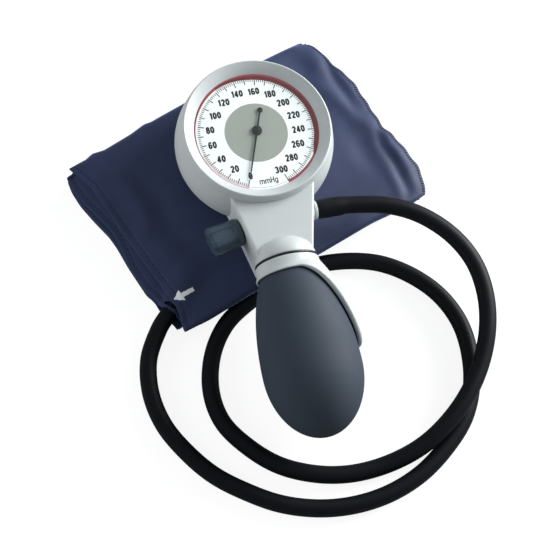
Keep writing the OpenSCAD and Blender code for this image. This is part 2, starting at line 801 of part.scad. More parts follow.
module filter_pad() {
    color("white") in_gauge() translate([-pocket_w / 2, pocket_low, neck_back + cover_t])
        cube([pocket_w, pocket_top - pocket_low, filter_t]);
}

module valve_seat() {
    color("goldenrod") in_valve() tube(gland_r, seat_hole_r, seat_z, seat_z + seat_t);
}

module valve_needle() {
    point_r = seat_hole_r - 0.5;
    seat_top = seat_z + seat_t;
    cone_h = 1.4;
    color("goldenrod") in_valve() {
        translate([0, 0, seat_top - 1]) cylinder(r1 = point_r, r2 = seat_hole_r - axle_gap, h = 1);
        translate([0, 0, seat_top]) cylinder(r1 = seat_hole_r - axle_gap, r2 = spindle_r, h = cone_h);
        rod(spindle_r, seat_top + cone_h, spindle_z);
        rod(spindle_r / 2, spindle_z, spindle_z + 3);
    }
}

module valve_spindle() {
    color("silver") in_valve() difference() {
        rod(spindle_r, spindle_z + 0.02, knob_z + knob_l - 2);
        rod(spindle_r / 2 + run_gap, spindle_z - over, spindle_z + 3.3);
    }
}

module valve_gland() {
    color("silver") in_valve() tube(gland_r, spindle_r + run_gap, gland_z, valve_face - 1.5);
}

module valve_o_ring() {
    color([0.05, 0.05, 0.05]) in_valve() tube(gland_r, spindle_r + run_gap, gland_z - ring_t, gland_z);
}

module valve_knob() {
    flute_r = 1.9;
    closed = 3;
    color(knob_blue) in_valve() difference() {
        union() {
            rod(knob_r, knob_z, knob_z + knob_l - 1);
            translate([0, 0, knob_z + knob_l - 1]) cylinder(r1 = knob_r, r2 = knob_r - 1, h = 1);
        }
        difference() {
            rod(knob_r - 2.4, knob_z - over, knob_z + knob_l - 3);
            rod(spindle_r + 1.4, knob_z + 1, knob_z + knob_l);
        }
        rod(spindle_r, knob_z - over, knob_z + knob_l - 2);
        for (k = [0 : knob_flutes - 1]) rotate([0, 0, (k + 0.5) * 360 / knob_flutes])
            translate([knob_r + 0.9, 0, 0]) rod(flute_r, knob_z + closed, knob_z + knob_l + over);
    }
}

module hose_connector() {
    ring_gap = 0.5;
    ring_l = (connector_end - neck_half(-junction[1]) + 1.12 - ring_gap) / 2;
    mid = connector_end - ring_l - ring_gap;
    color(shell_white) in_gauge() translate(junction) rotate([0, 90, 0]) difference() {
        union() {
            difference() {
                rod(connector_r, 10, connector_end);
                rotate([0, -90, 0]) translate(-junction) neck_prism();
            }
            rod(connector_stem_r, connector_in, connector_end);
            rod(spigot_r, connector_end, connector_end + spigot_l);
        }
        difference() {
            rod(connector_r + over, mid, mid + ring_gap);
            rod(connector_r - 0.6, mid - over, mid + ring_gap + over);
        }
        rod(duct_r - 0.3, connector_in - over, connector_end + spigot_l + over);
    }
}

module bulb_nipple() {
    color(shell_white) down_axis() difference() {
        union() {
            rod(socket_r, nipple_top, bulb_top);
            rod(nipple_r, bulb_top, nipple_end);
        }
        translate([0, outlet_off, 0]) rod(outlet_r, nipple_top - over, nipple_end + over);
        translate([0, inlet_off, 0]) rod(inlet_r, inlet_n, nipple_end + over);
        translate([0, inlet_off, inlet_n]) rotate([90, 0, 0]) rod(inlet_r, 0, socket_r);
        rod(0.65, nipple_top - over, nipple_top + 4);
    }
}

module outlet_valve_disc() {
    color("gray") down_axis() {
        rod(3.8, nipple_top - run_gap - disc_t, nipple_top - run_gap);
        rod(0.6, nipple_top - run_gap, nipple_top + 3);
    }
}

module inlet_valve_disc() {
    color("gray") down_axis() translate([0, inlet_off, 0]) {
        rod(2.1, nipple_end + run_gap, nipple_end + run_gap + disc_t);
        rod(0.6, nipple_end - 4, nipple_end + run_gap);
    }
}

module neck_seal_ring() {
    color([0.05, 0.05, 0.05]) down_axis() tube(collar_r - 0.3, socket_r, neck_end, neck_end + seal_t);
}

module spoon_arm() {
    steps = 14;
    low = bulb_top + 1;
    levels = [for (i = [0 : steps]) low + (spoon_tip - low) * i / steps];
    rotate_extrude() polygon(concat(
        [for (z = levels) [egg(z) + spoon_gap, z]],
        [for (i = [steps : -1 : 0]) [egg(levels[i]) + spoon_gap + spoon_t, levels[i]]]
    ));
}

// Outer radius of the spoon's collar, which flares over a bulb with a wider shoulder
function collar_side(z) =
    let (inner = egg(max(z, bulb_top)) + soft_gap) inner + 0.4 < collar_r ? collar_r : inner + spoon_t;

module spoon() {
    steps = 5;
    lid = collar_top + collar_lid;
    low = collar_top + collar_h;
    levels = [for (i = [0 : steps]) lid + (low - lid) * i / steps];
    reach = 2 * bulb_r;
    color(shell_white) down_axis() {
        tube(collar_r, socket_r + run_gap, collar_top, lid);
        rotate_extrude() polygon(concat(
            [for (z = levels) [egg(max(z, bulb_top)) + soft_gap, z]],
            [for (i = [steps : -1 : 0]) [collar_side(levels[i]), levels[i]]]
        ));
        intersection() {
            spoon_arm();
            rotate([0, 0, -spoon_turn]) rotate([90, 0, 90]) linear_extrude(reach) union() {
                translate([-spoon_half, collar_top])
                    square([2 * spoon_half, spoon_tip - spoon_half - collar_top]);
                translate([0, spoon_tip - spoon_half]) circle(r = spoon_half);
            }
        }
    }
}

// Points down the egg from z0 to its lower end, less an inset
function egg_line(z0, inset) =
    let (a0 = acos(min(1, (bulb_wide - z0) / (bulb_upper - inset))), steps = 10)
    concat(
        [for (i = [0 : steps]) let (a = a0 + (90 - a0) * i / steps)
            [(bulb_r - inset) * sin(a), bulb_wide - (bulb_upper - inset) * cos(a)]],
        [for (i = [1 : steps]) let (a = 90 * i / steps)
            [(bulb_r - inset) * cos(a), bulb_wide + (bulb_lower - inset) * sin(a)]]
    );

module bulb() {
    mouth_r = nipple_r + bulb_wall;
    mouth_end = nipple_end - 3;
    color(rubber_slate) down_axis() difference() {
        union() {
            difference() {
                rotate_extrude() polygon(concat([[0, bulb_top]], egg_line(bulb_top, 0)));
                rotate_extrude() polygon(concat([[0, bulb_top + bulb_wall]],
                    egg_line(bulb_top + bulb_wall, bulb_wall)));
            }
            rod(mouth_r, bulb_top, mouth_end);
        }
        rod(nipple_r, bulb_top - over, mouth_end + over);
    }
}

// A run of points round a centre from one angle to another
function arc(centre, r, from, to) =
    let (steps = 12) [for (i = [0 : steps]) centre + polar(r, from + (to - from) * i / steps)];

// The centre and the outer radius of the fold that joins layer i to the one above it
function fold_centre(i, y) = [y, layer_z(i + 1, y) - layer_gap / 2];
function fold_r(y) = layer_z(1, y) - layer_gap / 2;

// The folded strip seen from its end, once round its outside and its gaps
module cuff_outline() {
    inner_r = layer_gap / 2;
    polygon(concat(
        [[bottom_end_y, 0]],
        arc(fold_centre(0, rear_fold_y), fold_r(rear_fold_y), -90, 90),
        arc(fold_centre(1, low_fold_y), inner_r, 270, 90),
        arc(fold_centre(2, rear_fold_y), fold_r(rear_fold_y), -90, 90),
        arc(fold_centre(3, top_fold_y), inner_r, 270, 90),
        [[top_end_y, layer_z(4, top_end_y)], [top_end_y, cuff_top(top_end_y)]],
        arc(fold_centre(3, top_fold_y), fold_r(top_fold_y), 90, 270),
        arc(fold_centre(2, rear_fold_y), inner_r, 90, -90),
        arc(fold_centre(1, low_fold_y), fold_r(low_fold_y), 90, 270),
        arc(fold_centre(0, rear_fold_y), inner_r, 90, -90),
        [[bottom_end_y, layer_z(1, bottom_end_y) - layer_gap]]
    ));
}

module across_cuff(from, width) {
    in_cuff() translate([from, 0, 0]) rotate([90, 0, 90]) linear_extrude(width) children();
}

// A flat piece of thickness t from y0 to y1, at a height base above the underside of layer i
module slab_outline(i, y0, y1, base, t, grow) {
    polygon([
        [y0 - grow, layer_z(i, y0) + base - grow], [y1 + grow, layer_z(i, y1) + base - grow],
        [y1 + grow, layer_z(i, y1) + base + t + grow], [y0 - grow, layer_z(i, y0) + base + t + grow]
    ]);
}

module bladder_slab(grow = 0) {
    across_cuff(bladder_left - grow, bladder_w + 2 * grow)
        slab_outline(bladder_layer, bladder_front, bladder_rear, bladder_skin, bladder_t, grow);
}

// The hook strip lies in the underside of the top layer, and the loop panel in the top of layer 1
module hook_slab(grow = 0) {
    across_cuff(panel_left - grow, panel_w + 2 * grow)
        slab_outline(4, hook_front, panel_rear, 0, panel_t, grow);
}

module loop_slab(grow = 0) {
    across_cuff(panel_left - grow, panel_w + 2 * grow)
        slab_outline(2, loop_front, panel_rear, -layer_gap - panel_t, panel_t, grow);
}

module cuff_cover() {
    color(cuff_navy) difference() {
        across_cuff(cuff_left, cuff_w) cuff_outline();
        bladder_slab(free_gap);
        hook_slab(free_gap);
        loop_slab(free_gap);
        in_port() rod(hose_d / 2 + soft_gap, -port_room, port_l + 2);
        in_gauge() case_outline(soft_gap);
    }
}

module cuff_bladder() {
    color("dimgray") difference() {
        bladder_slab();
        in_port() rod(port_r, -port_room, port_l + 2);
    }
}

module bladder_port() {
    color("dimgray") in_port() {
        rod(port_r, 0, port_l + 2);
        rod(spigot_r, -spigot_l, 0);
    }
}

module hook_strip() {
    color("black") hook_slab();
}

module loop_panel() {
    color("black") loop_slab();
}

module hose() {
    color([0.05, 0.05, 0.06]) swept_tube(HOSE, hose_d / 2, hose_sides);
}

gauge_case();
bezel_ring();
lens();
lens_gasket();
dial_plate();
pointer();
pinion_arbor();
hairspring();
hairspring_stud();
movement_plate();
plate_pillars();
plate_screws();
movement_bridge();
bridge_posts();
bridge_screws();
sector_gear();
sector_arbor();
rocker_shaft();
rocker_brackets();
pressure_capsule();
capsule_stud();
capsule_spigot();
neck_body();
neck_screws();
neck_cover();
cover_screws();
filter_pad();
valve_seat();
valve_needle();
valve_spindle();
valve_gland();
valve_o_ring();
valve_knob();
hose_connector();
bulb_nipple();
outlet_valve_disc();
inlet_valve_disc();
neck_seal_ring();
spoon();
bulb();
cuff_cover();
cuff_bladder();
bladder_port();
hook_strip();
loop_panel();
hose();
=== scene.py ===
"""Aneroid sphygmomanometer: a palm-held pressure gauge with its bulb, lying on its folded arm cuff.

Every section makes one piece, or a group of like pieces, in the order in which the object goes
together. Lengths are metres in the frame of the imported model, and the table is z = 0.
"""

import math

import bmesh
import bpy
import numpy as np
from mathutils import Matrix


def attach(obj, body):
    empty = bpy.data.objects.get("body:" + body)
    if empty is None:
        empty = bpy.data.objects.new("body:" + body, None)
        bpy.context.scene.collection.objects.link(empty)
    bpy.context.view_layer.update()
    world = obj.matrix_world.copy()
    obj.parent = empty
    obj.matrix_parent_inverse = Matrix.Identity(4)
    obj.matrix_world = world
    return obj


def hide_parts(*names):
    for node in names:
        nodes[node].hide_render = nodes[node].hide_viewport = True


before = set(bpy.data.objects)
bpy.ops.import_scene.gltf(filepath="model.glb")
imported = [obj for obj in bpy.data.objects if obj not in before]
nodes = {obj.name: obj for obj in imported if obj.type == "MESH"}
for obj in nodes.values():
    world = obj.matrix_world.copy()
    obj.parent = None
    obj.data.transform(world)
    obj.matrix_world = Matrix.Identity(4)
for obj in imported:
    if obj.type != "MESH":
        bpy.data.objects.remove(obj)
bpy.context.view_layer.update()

# The camera: a long lens that looks down at 68 degrees, fitted to the rings of the dial, the bulb
# and the cuff's corners. Everything else is placed by the object's own sizes.
scene = bpy.context.scene
scene.view_settings.view_transform = "Standard"
camera = bpy.data.objects.new("camera", bpy.data.cameras.new("camera"))
camera.data.lens, camera.data.sensor_width, camera.data.clip_start = 80, 36, 0.01
camera.location = (0.01066, -0.27891, 0.55169)
camera.rotation_euler = (math.radians(90 - 68), 0, 0)
scene.collection.objects.link(camera)
scene.camera = camera


def add_node(tree, kind, inputs=(), **settings):
    """A shader node. An input given as a socket is linked, and any other value is set."""
    made = tree.nodes.new("ShaderNode" + kind)
    for key, value in settings.items():
        setattr(made, key, value)
    for key, value in inputs.items() if isinstance(inputs, dict) else enumerate(inputs):
        if isinstance(value, bpy.types.NodeSocket):
            tree.links.new(value, made.inputs[key])
        elif value is not None:
            made.inputs[key].default_value = value
    return made


def number(tree, operation, *values):
    """The result of a Math node."""
    return add_node(tree, "Math", values, operation=operation).outputs[0]


# The table: a white sheet that shows white to the lens and keeps the soft contact shadows. Its
# light on the object is that of plain white paper.
table_finish = bpy.data.materials.new("white_table")
table_finish.use_nodes = True
tree = table_finish.node_tree
tree.nodes.clear()
ray = add_node(tree, "LightPath").outputs
seen = number(tree, "MAXIMUM", ray["Is Camera Ray"], ray["Is Transmission Ray"])
grey_to_light, grey_to_lens = 0.4, 0.22
paper = add_node(tree, "MixRGB", [seen, (*[grey_to_light] * 3, 1), (*[grey_to_lens] * 3, 1)])
paper = add_node(tree, "BsdfDiffuse", [paper.outputs[0]])
glow = add_node(tree, "Emission", {"Strength": number(tree, "MULTIPLY", seen, 0.88)})
total = add_node(tree, "AddShader", [paper.outputs[0], glow.outputs[0]])
add_node(tree, "OutputMaterial", [total.outputs[0]])
table_mesh = bpy.data.meshes.new("table")
table_mesh.from_pydata([(-6, -6, 0), (6, -6, 0), (6, 6, 0), (-6, 6, 0)], [], [(0, 1, 2, 3)])
table_mesh.materials.append(table_finish)
table = bpy.data.objects.new("table", table_mesh)
scene.collection.objects.link(table)

# The light: a bright room, one large soft lamp at the upper right, which gives the dial its
# shadow to the lower left, and a weak one at the left, which glossy pieces don't mirror.
room = bpy.data.worlds.new("room")
room.use_nodes = True
sky = room.node_tree.nodes["Background"].inputs
sky["Color"].default_value, sky["Strength"].default_value = (0.93, 0.97, 1, 1), 0.34
scene.world = room
for name, place, size, power in [
    ("window", (0.62, 0.30, 0.28), 0.5, 12.5),
    ("left_fill", (-1.0, -0.1, 0.34), 0.8, 7.0),
]:
    lamp = bpy.data.lights.new(name, "AREA")
    lamp.size, lamp.energy = size, power
    lamp = bpy.data.objects.new(name, lamp)
    lamp.visible_glossy = name == "window"
    lamp.location = place
    lamp.rotation_euler = (-lamp.location).to_track_quat("-Z", "Y").to_euler()
    scene.collection.objects.link(lamp)


# The hose: 8 mm black rubber tubing, 0.74 m long, pushed over the gauge's spigot at one end and
# over the bladder's port at the other. It lies on the table in two loose loops.
def pattern_group(name, **wanted):
    """A node group with a colour, a roughness, a depth and the further inputs that are wanted. It
    gives a colour, a roughness and a normal. Returned with the sockets of its inputs."""
    group = bpy.data.node_groups.new(name, "ShaderNodeTree")
    taken = {"Colour": "Color", "Roughness": "Float", "Depth": "Float", **wanted}
    made = {"Colour": "Color", "Roughness": "Float", "Normal": "Vector"}
    for way, sockets in [("INPUT", taken), ("OUTPUT", made)]:
        for socket, kind in sockets.items():
            group.interface.new_socket(socket, in_out=way, socket_type="NodeSocket" + kind)
    return group, group.nodes.new("NodeGroupInput").outputs


def noise(group, place, scale, detail):
    """Soft noise between 0 and 1 at a place."""
    given = {"Vector": place, "Scale": scale, "Detail": detail}
    return add_node(group, "TexNoise", given).outputs["Fac"]


def close_group(group, given, tint, rough, height, distance):
    """The group's results: the given colour times a tint, a roughness, and a height as a bump."""
    colour = add_node(group, "VectorMath", {0: given["Colour"], "Scale": tint}, operation="SCALE")
    bump = add_node(group, "Bump", {"Strength": given["Depth"], "Distance": distance, "Height": height})
    result = group.nodes.new("NodeGroupOutput")
    for name, socket in [
        ("Colour", colour.outputs[0]), ("Roughness", rough), ("Normal", bump.outputs[0])
    ]:
        group.links.new(socket, result.inputs[name])
    return group


def moulded_grain():
    """A node group for moulded plastic and rubber: fine grain as a bump, and slow soft variation
    of the colour and of the roughness."""
    group, given = pattern_group("moulded_grain", Shade="Float", Grains="Float")
    place = add_node(group, "TexCoord").outputs["Object"]
    cloud = noise(group, place, 55.0, 3.0)
    keep = number(group, "SUBTRACT", 1.0, number(group, "MULTIPLY", cloud, given["Shade"]))
    rough = number(group, "ADD", given["Roughness"], number(group, "MULTIPLY_ADD", cloud, 0.12, -0.06))
    return close_group(group, given, keep, rough, noise(group, place, given["Grains"], 2.0), 0.0001)


GRAIN = moulded_grain()


def new_finish(name, **values):
    """A material with the given values on its Principled shader's own sockets."""
    made = bpy.data.materials.new(name)
    made.use_nodes = True
    shader = made.node_tree.nodes["Principled BSDF"]
    for socket, value in values.items():
        shader.inputs[socket.replace("_", " ")].default_value = value
    return made, shader


def patterned(name, group, colour, given, **values):
    """A material whose pattern group feeds colour, roughness and normal. The other values are set
    on its Principled shader."""
    made, shader = new_finish(name, **values)
    tree = made.node_tree
    pattern = add_node(tree, "Group", {"Colour": (*colour, 1), **given}, node_tree=group)
    if "UV" in pattern.inputs:
        tree.links.new(add_node(tree, "TexCoord").outputs["UV"], pattern.inputs["UV"])
    for a, b in [("Colour", "Base Color"), ("Roughness", "Roughness"), ("Normal", "Normal")]:
        tree.links.new(pattern.outputs[a], shader.inputs[b])
    return made


def moulded(name, colour, roughness, shade=0.12, grains=2500, depth=0.12, **values):
    """A moulded plastic or rubber, or an ink, with its fine grain."""
    given = {"Shade": shade, "Roughness": roughness, "Grains": grains, "Depth": depth}
    return patterned(name, GRAIN, colour, given, **values)


def unit(v):
    """The vectors at length one."""
    return v / np.linalg.norm(v, axis=-1, keepdims=True)


def run_of(points):
    """How far along a line each of its points lies."""
    return np.concatenate([[0], np.cumsum(np.linalg.norm(np.diff(points, axis=0), axis=1))])


def smooth_line(points, step):
    """A Catmull-Rom curve through the points, resampled so that its points lie a step apart."""
    p = np.asarray(points, float)
    p = np.vstack([2 * p[0] - p[1], p, 2 * p[-1] - p[-2]])
    t = np.linspace(0, 1, 12, endpoint=False)[:, None, None]
    a, b, c, d = p[:-3], p[1:-2], p[2:-1], p[3:]
    q = 0.5 * (2 * b + (c - a) * t + (2 * a - 5 * b + 4 * c - d) * t**2
               + (3 * b - a - 3 * c + d) * t**3)
    q = np.vstack([q.transpose(1, 0, 2).reshape(-1, p.shape[1]), p[-2]])
    far = run_of(q)
    at = np.linspace(0, far[-1], int(far[-1] / step) + 1)
    return np.stack([np.interp(at, far, q[:, k]) for k in range(q.shape[1])], axis=1)


def rings_along(path, radius, sides):
    """Rings square to a path: ring i has its points at path_i + r (cos a side_i + sin a up_i),
    where side_i is level. The last column repeats the first, so that the ring closes."""
    ahead = unit(np.gradient(path, axis=0))
    side = unit(np.cross([0, 0, 1.0], ahead))
    up = np.cross(ahead, side)
    a = np.linspace(0, 2 * np.pi, sides + 1)[None, :, None]
    r = np.broadcast_to(radius, len(path))[:, None, None]
    return path[:, None] + r * (np.cos(a) * side[:, None] + np.sin(a) * up[:, None])


def closed_ends(grid):
    """The grid with a first and a last row drawn together in the middle of its end rings."""
    first, last = grid[:1].mean(1, keepdims=True), grid[-1:].mean(1, keepdims=True)
    wide = np.ones((1, grid.shape[1], 1))
    return np.concatenate([first * wide, grid, last * wide])


def quads_of(grid):
    """The points of a grid of rows and columns, and the quads that join each to the next ones."""
    rows, cols = grid.shape[:2]
    i = np.arange(rows * cols).reshape(rows, cols)
    quads = np.stack([i[:-1, :-1], i[:-1, 1:], i[1:, 1:], i[1:, :-1]], -1).reshape(-1, 4)
    return grid.reshape(-1, 3), quads


def make_piece(name, parts, finish, body="instrument", uv=None, sharp=38):
    """One object of several surfaces, each (points, faces). Points in the same place become one,
    which closes seams and poles, and the faces are turned outwards. uv has a row for each point."""
    points = np.vstack([p for p, _ in parts])
    starts = np.cumsum([0] + [len(p) for p, _ in parts[:-1]])
    faces = np.vstack([f + s for (_, f), s in zip(parts, starts)])
    same_place = 2e-7
    cells = np.round(points / same_place).astype(np.int64)
    _, first, same = np.unique(cells, axis=0, return_index=True, return_inverse=True)
    joined = same.reshape(-1)[faces]
    keep = joined != np.roll(joined, 1, axis=1)
    whole = keep.sum(1) > 2
    joined, keep, faces = joined[whole], keep[whole], faces[whole]
    size = keep.sum(1)
    mesh = bpy.data.meshes.new(name)
    mesh.vertices.add(len(first))
    mesh.vertices.foreach_set("co", points[first].astype(np.float32).ravel())
    mesh.loops.add(int(size.sum()))
    mesh.loops.foreach_set("vertex_index", joined[keep].astype(np.int32))
    mesh.polygons.add(len(size))
    mesh.polygons.foreach_set(
        "loop_start", np.concatenate([[0], np.cumsum(size)[:-1]]).astype(np.int32))
    if uv is not None:
        layer = mesh.uv_layers.new(name="UVMap")
        layer.data.foreach_set("uv", np.asarray(uv, np.float32)[faces[keep]].ravel())
    mesh.update(calc_edges=True)
    mesh.validate()
    work = bmesh.new()
    work.from_mesh(mesh)
    bmesh.ops.recalc_face_normals(work, faces=work.faces)
    work.to_mesh(mesh)
    work.free()
    mesh.shade_smooth()
    mesh.set_sharp_from_angle(angle=math.radians(sharp))
    mesh.materials.append(finish)
    made = bpy.data.objects.new(name, mesh)
    scene.collection.objects.link(made)
    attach(made, body)
    return made


# The hose's middle line in millimetres: down from the gauge, round the table, and into the cuff.
hose_down = [
    (28.3, -32.6, 29.3), (36, -30.8, 28.6), (45, -29.5, 28), (61, -29.5, 27), (76, -33.5, 25.5),
    (90, -42.5, 23.5), (100, -55, 21.5), (105, -70, 19), (105.5, -86, 16.5), (102, -102, 14),
    (95, -117, 12.5), (85, -130, 10.5), (73, -140, 7.5), (58, -147, 4.5)]
hose_flat = [
    (42, -151), (26, -151), (10, -147), (-4, -138.5), (-15.5, -127), (-21, -112), (-20.5, -95),
    (-14.5, -80), (-3.5, -68.5), (10, -58.5), (25, -51), (41, -48), (57.5, -49), (72.5, -55),
    (85.5, -65), (94.5, -78.5), (98.5, -94), (98.5, -110.5), (94, -126), (84.5, -140), (73, -151.5),
    (59, -160), (43.5, -165), (27.5, -166.5), (11, -164.5), (-4.5, -159), (-19, -151.5),
    (-31.5, -141), (-42, -128.5), (-48.5, -113.5)]
hose_in = [(-50, -97.5, 4.4), (-45.8, -83.2, 5.5), (-41, -74.9, 6.1), (-37, -68, 6.5)]
lying = 4.1
hose_route = np.array([*hose_down, *[(x, y, lying) for x, y in hose_flat], *hose_in]) / 1000
hose_route = np.vstack([hose_route[0] - (0.00082, 0.0002, -0.00008), hose_route])
hose_line = smooth_line(hose_route, 0.002)
hose_far = run_of(hose_line)
# The rubber is stretched by 0.55 mm over the spigot, along its first 12.5 mm.
stretch = 0.00055 / (1 + np.exp(np.clip((hose_far - 0.0125) / 0.0008, None, 50)))
hose_radius = 0.004 + stretch
hose_radius[0] -= 0.0004
hose_grid = closed_ends(rings_along(hose_line, hose_radius, 28))
hose_rubber = moulded("hose_rubber", (0.0045, 0.006, 0.0085), 0.5, shade=0.3, grains=1500, depth=0.1,
                      Specular_IOR_Level=0.14)
hose = make_piece("hose_tube", [quads_of(hose_grid)], hose_rubber)
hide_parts("hose")


# The folded cuff: a nylon sleeve 140 mm wide, sewn along both sides and folded into five layers.
# The left hem is turned in and stitched, and the right one is overlocked with dark thread.
turn = math.radians(32.4)
cuff_front, cuff_rear, cuff_wide = -0.0557, 0.0501, 0.14
gap = 0.0004


def woven_cloth():
    """A node group for fine twill: a height of sin(u + v) and sin(v) waves a thread apart, which
    tints the cloth and lifts it. It wants the piece's own UV map, in metres."""
    group, given = pattern_group("woven_cloth", UV="Vector", Thread="Float")
    waves = number(group, "DIVIDE", 2 * math.pi, given["Thread"])
    place = add_node(group, "VectorMath", {0: given["UV"], "Scale": waves}, operation="SCALE")
    axes = add_node(group, "SeparateXYZ", [place.outputs[0]]).outputs
    rib = number(group, "SINE", number(group, "ADD", axes[0], axes[1]))
    weft = number(group, "SINE", number(group, "MULTIPLY", axes[1], 2.0))
    height = number(group, "MULTIPLY_ADD", weft, 0.4, rib)
    soft = noise(group, given["UV"], 140.0, 4.0)
    tint = number(group, "MULTIPLY_ADD", soft, 0.4, number(group, "MULTIPLY_ADD", height, 0.09, 0.78))
    rough = number(group, "MULTIPLY_ADD", soft, 0.16, given["Roughness"])
    return close_group(group, given, tint, rough, height, 0.00005)


WEAVE = woven_cloth()


def stack_height(y):
    """Height of the folded stack, 14 mm at the front and 20 mm at the rear."""
    return 0.014 + 0.006 * (y - cuff_front) / (cuff_rear - cuff_front)


def layer_rise(y):
    """From one layer to the next."""
    return (stack_height(y) + gap) / 5


def ridge(x, y, line, high, wide):
    """A soft crease along a line of points: its height times exp(-(d / width)^2), where d is the
    distance to the line, fading towards both of its ends."""
    line = np.asarray(line, float) / 1000
    best, fade = np.full(x.shape, 1e9), np.zeros(x.shape)
    far = run_of(line)
    for a, b, l, s in zip(line[:-1], line[1:], np.diff(far), far / far[-1]):
        t = np.clip(((x - a[0]) * (b[0] - a[0]) + (y - a[1]) * (b[1] - a[1])) / l**2, 0, 1)
        d = np.hypot(x - a[0] - t * (b[0] - a[0]), y - a[1] - t * (b[1] - a[1]))
        near = d < best
        best, fade = np.where(near, d, best), np.where(near, s + t * l / far[-1], fade)
    return high / 1000 * np.exp(-((best * 1000 / wide) ** 2)) * np.sin(np.pi * (0.12 + 0.76 * fade))


# The creases of the top layer: each line's points, height and width in millimetres.
creases = [
    ([(60, 33), (56, 19), (56, 8), (55, -5)], -1.3, 2.6),
    ([(46, 22), (50, 9), (53, 0), (54, -8), (58, -14), (64, -22)], 1.1, 4.0),
    ([(47, -12), (47, -23), (46, -33)], -1.3, 6.0),
    ([(59, -16), (56, -24), (56, -36), (53, -50)], -1.3, 2.2),
    ([(60, -24), (60, -38), (57, -52)], 0.6, 2.4),
    ([(51, -36), (50, -46), (46, -56)], 0.7, 2.6),
    ([(40, 44), (46, 30), (45, 16)], -0.8, 6.0),
    ([(58, 40), (52, 30), (48, 20)], 0.6, 4.0),
    ([(-66, 36), (-60, 19), (-60, 7), (-63, -2), (-70, -6)], 1.2, 4.2),
    ([(-64, -5), (-60, -24), (-66, -34)], 1.0, 6.0),
    ([(-54, 24), (-51, 8), (-54, -8), (-50, -24)], -0.8, 5.0),
    ([(-70, 26), (-69, 12), (-71, 2)], -0.6, 3.0),
    ([(-62, -44), (-52, -50), (-40, -52)], 0.6, 5.0),
]


def top_folds(x, y):
    """How far the top layer stands up from flat: creases that fan out from the right edge, a
    hollow among them, and an S-shaped one at the left, over a slow ripple of sines."""
    ripple = 0.0004 * np.sin(x * 95 + 1.3 * np.sin(y * 70)) * np.sin(y * 60 + 0.6)
    return sum(ridge(x, y, *crease) for crease in creases) + ripple


def table_of(y, rows):
    """A smooth value read from rows of (y, value) in millimetres: the straight lines between the
    rows, averaged over 3 mm of y."""
    at, value = np.array(sorted(rows)).T
    return sum(np.interp(y * 1000 + k, at, value) for k in (-1.5, -0.75, 0, 0.75, 1.5)) / 5000


def left_edge(layer, y):
    """Where the left hem of each layer runs: the top one is drawn in, the next hides under it, and
    the lower ones step out, so that the stack gapes there."""
    top = table_of(y, [(-55, -74.3), (-49.6, -73.6), (-43.6, -72.2), (-38, -71.6), (-21, -72.9),
                       (-6.5, -73.6), (11, -74.4), (31, -75.3), (45, -79.4)])
    low = table_of(y, [(-52, -75.2), (-40, -77), (-30, -78), (-27, -79.2), (-10, -79.5), (2, -79),
                       (9, -79.3), (20, -81.4), (31, -83), (40, -83), (48, -81.5)])
    inner = np.where(layer > 2.5, top + 0.004, low + 0.0011 * (layer > 1.5) * (1 + np.sin(90 * y)))
    return np.where(layer > 3.5, top, inner)


def right_edge(layer, y):
    """Where the overlocked edge of each layer runs: the top one's slow waves and cut corners, and
    the lower layers hidden under it."""
    top = table_of(y, [(-60, 50), (-57.5, 57), (-56, 59.5), (-47.4, 63.8), (-41.5, 65.4), (-30.6, 64.9),
                       (-20.7, 63.7), (-17.6, 62.3), (-2, 63.3), (12.8, 63.8), (19.8, 61.9), (26, 60.2),
                       (36.6, 58.9), (39.8, 57.5), (43.4, 55.2), (45, 51)])
    top = top + 0.00025 * np.sin(y * 610 + 2 * layer)
    return np.where(layer > 3.5, top, top - 0.003)


def strip_line(step=0.0016):
    """The middle line of the folded strip seen from its end, as columns y, z, half thickness and
    layer: five runs joined by half circles, each as far above the last as the stack has room."""
    found = []
    top_fold, low_fold = -0.05302, -0.04732
    rear_fold, first, last = 0.04342, -0.04882, 0.04522
    stops = [first, rear_fold, low_fold, rear_fold, top_fold, last]
    for i, (y0, y1) in enumerate(zip(stops, stops[1:])):
        y = np.linspace(y0, y1, int(abs(y1 - y0) / step) + 1)
        half = (layer_rise(y) - gap) / 2
        found.append(np.stack([y, i * layer_rise(y) + half, half, np.full(len(y), i)], 1))
        if i < 4:
            a = np.linspace(0, np.pi, 11)[1:-1]
            r, way = layer_rise(y1) / 2, math.copysign(1, y1)
            found.append(np.stack([y1 + way * r * np.sin(a), (i + 1) * 2 * r - gap / 2 - r * np.cos(a),
                                   r - gap / 2 + 0 * a, i + a / np.pi], 1))
    return np.vstack(found)


strip = strip_line()
strip_far = run_of(strip[:, :2])
ahead = unit(np.gradient(strip[:, :2], axis=0))
near_left = [0, 0.0006, 0.0013, 0.002, 0.003, 0.0038]
near_right = [0.1365, 0.1375, 0.1384, 0.1392, 0.14]
across = np.concatenate([near_left, np.linspace(0.005, 0.1355, 84), near_right]) / cuff_wide

# The gauge's own frame: its origin is the centre of the dial's face, its height axis n stands
# square to the dial, and v runs from the bulb to the top of the scale.


def turned_by(degrees, i, j):
    """The matrix that turns axis i towards axis j."""
    c, s = math.cos(math.radians(degrees)), math.sin(math.radians(degrees))
    made = np.eye(3)
    made[[i, j, j, i], [i, j, i, j]] = c, c, s, -s
    return made


gauge_axes = turned_by(13.5, 0, 1) @ turned_by(5.5, 2, 0) @ turned_by(5.4, 1, 2)
dial_height = 0.0449941


def in_gauge(points):
    """Millimetres in the gauge's frame (u, v, n) to metres in the model's frame."""
    return np.asarray(points, float) / 1000 @ gauge_axes.T + (0, 0, dial_height)


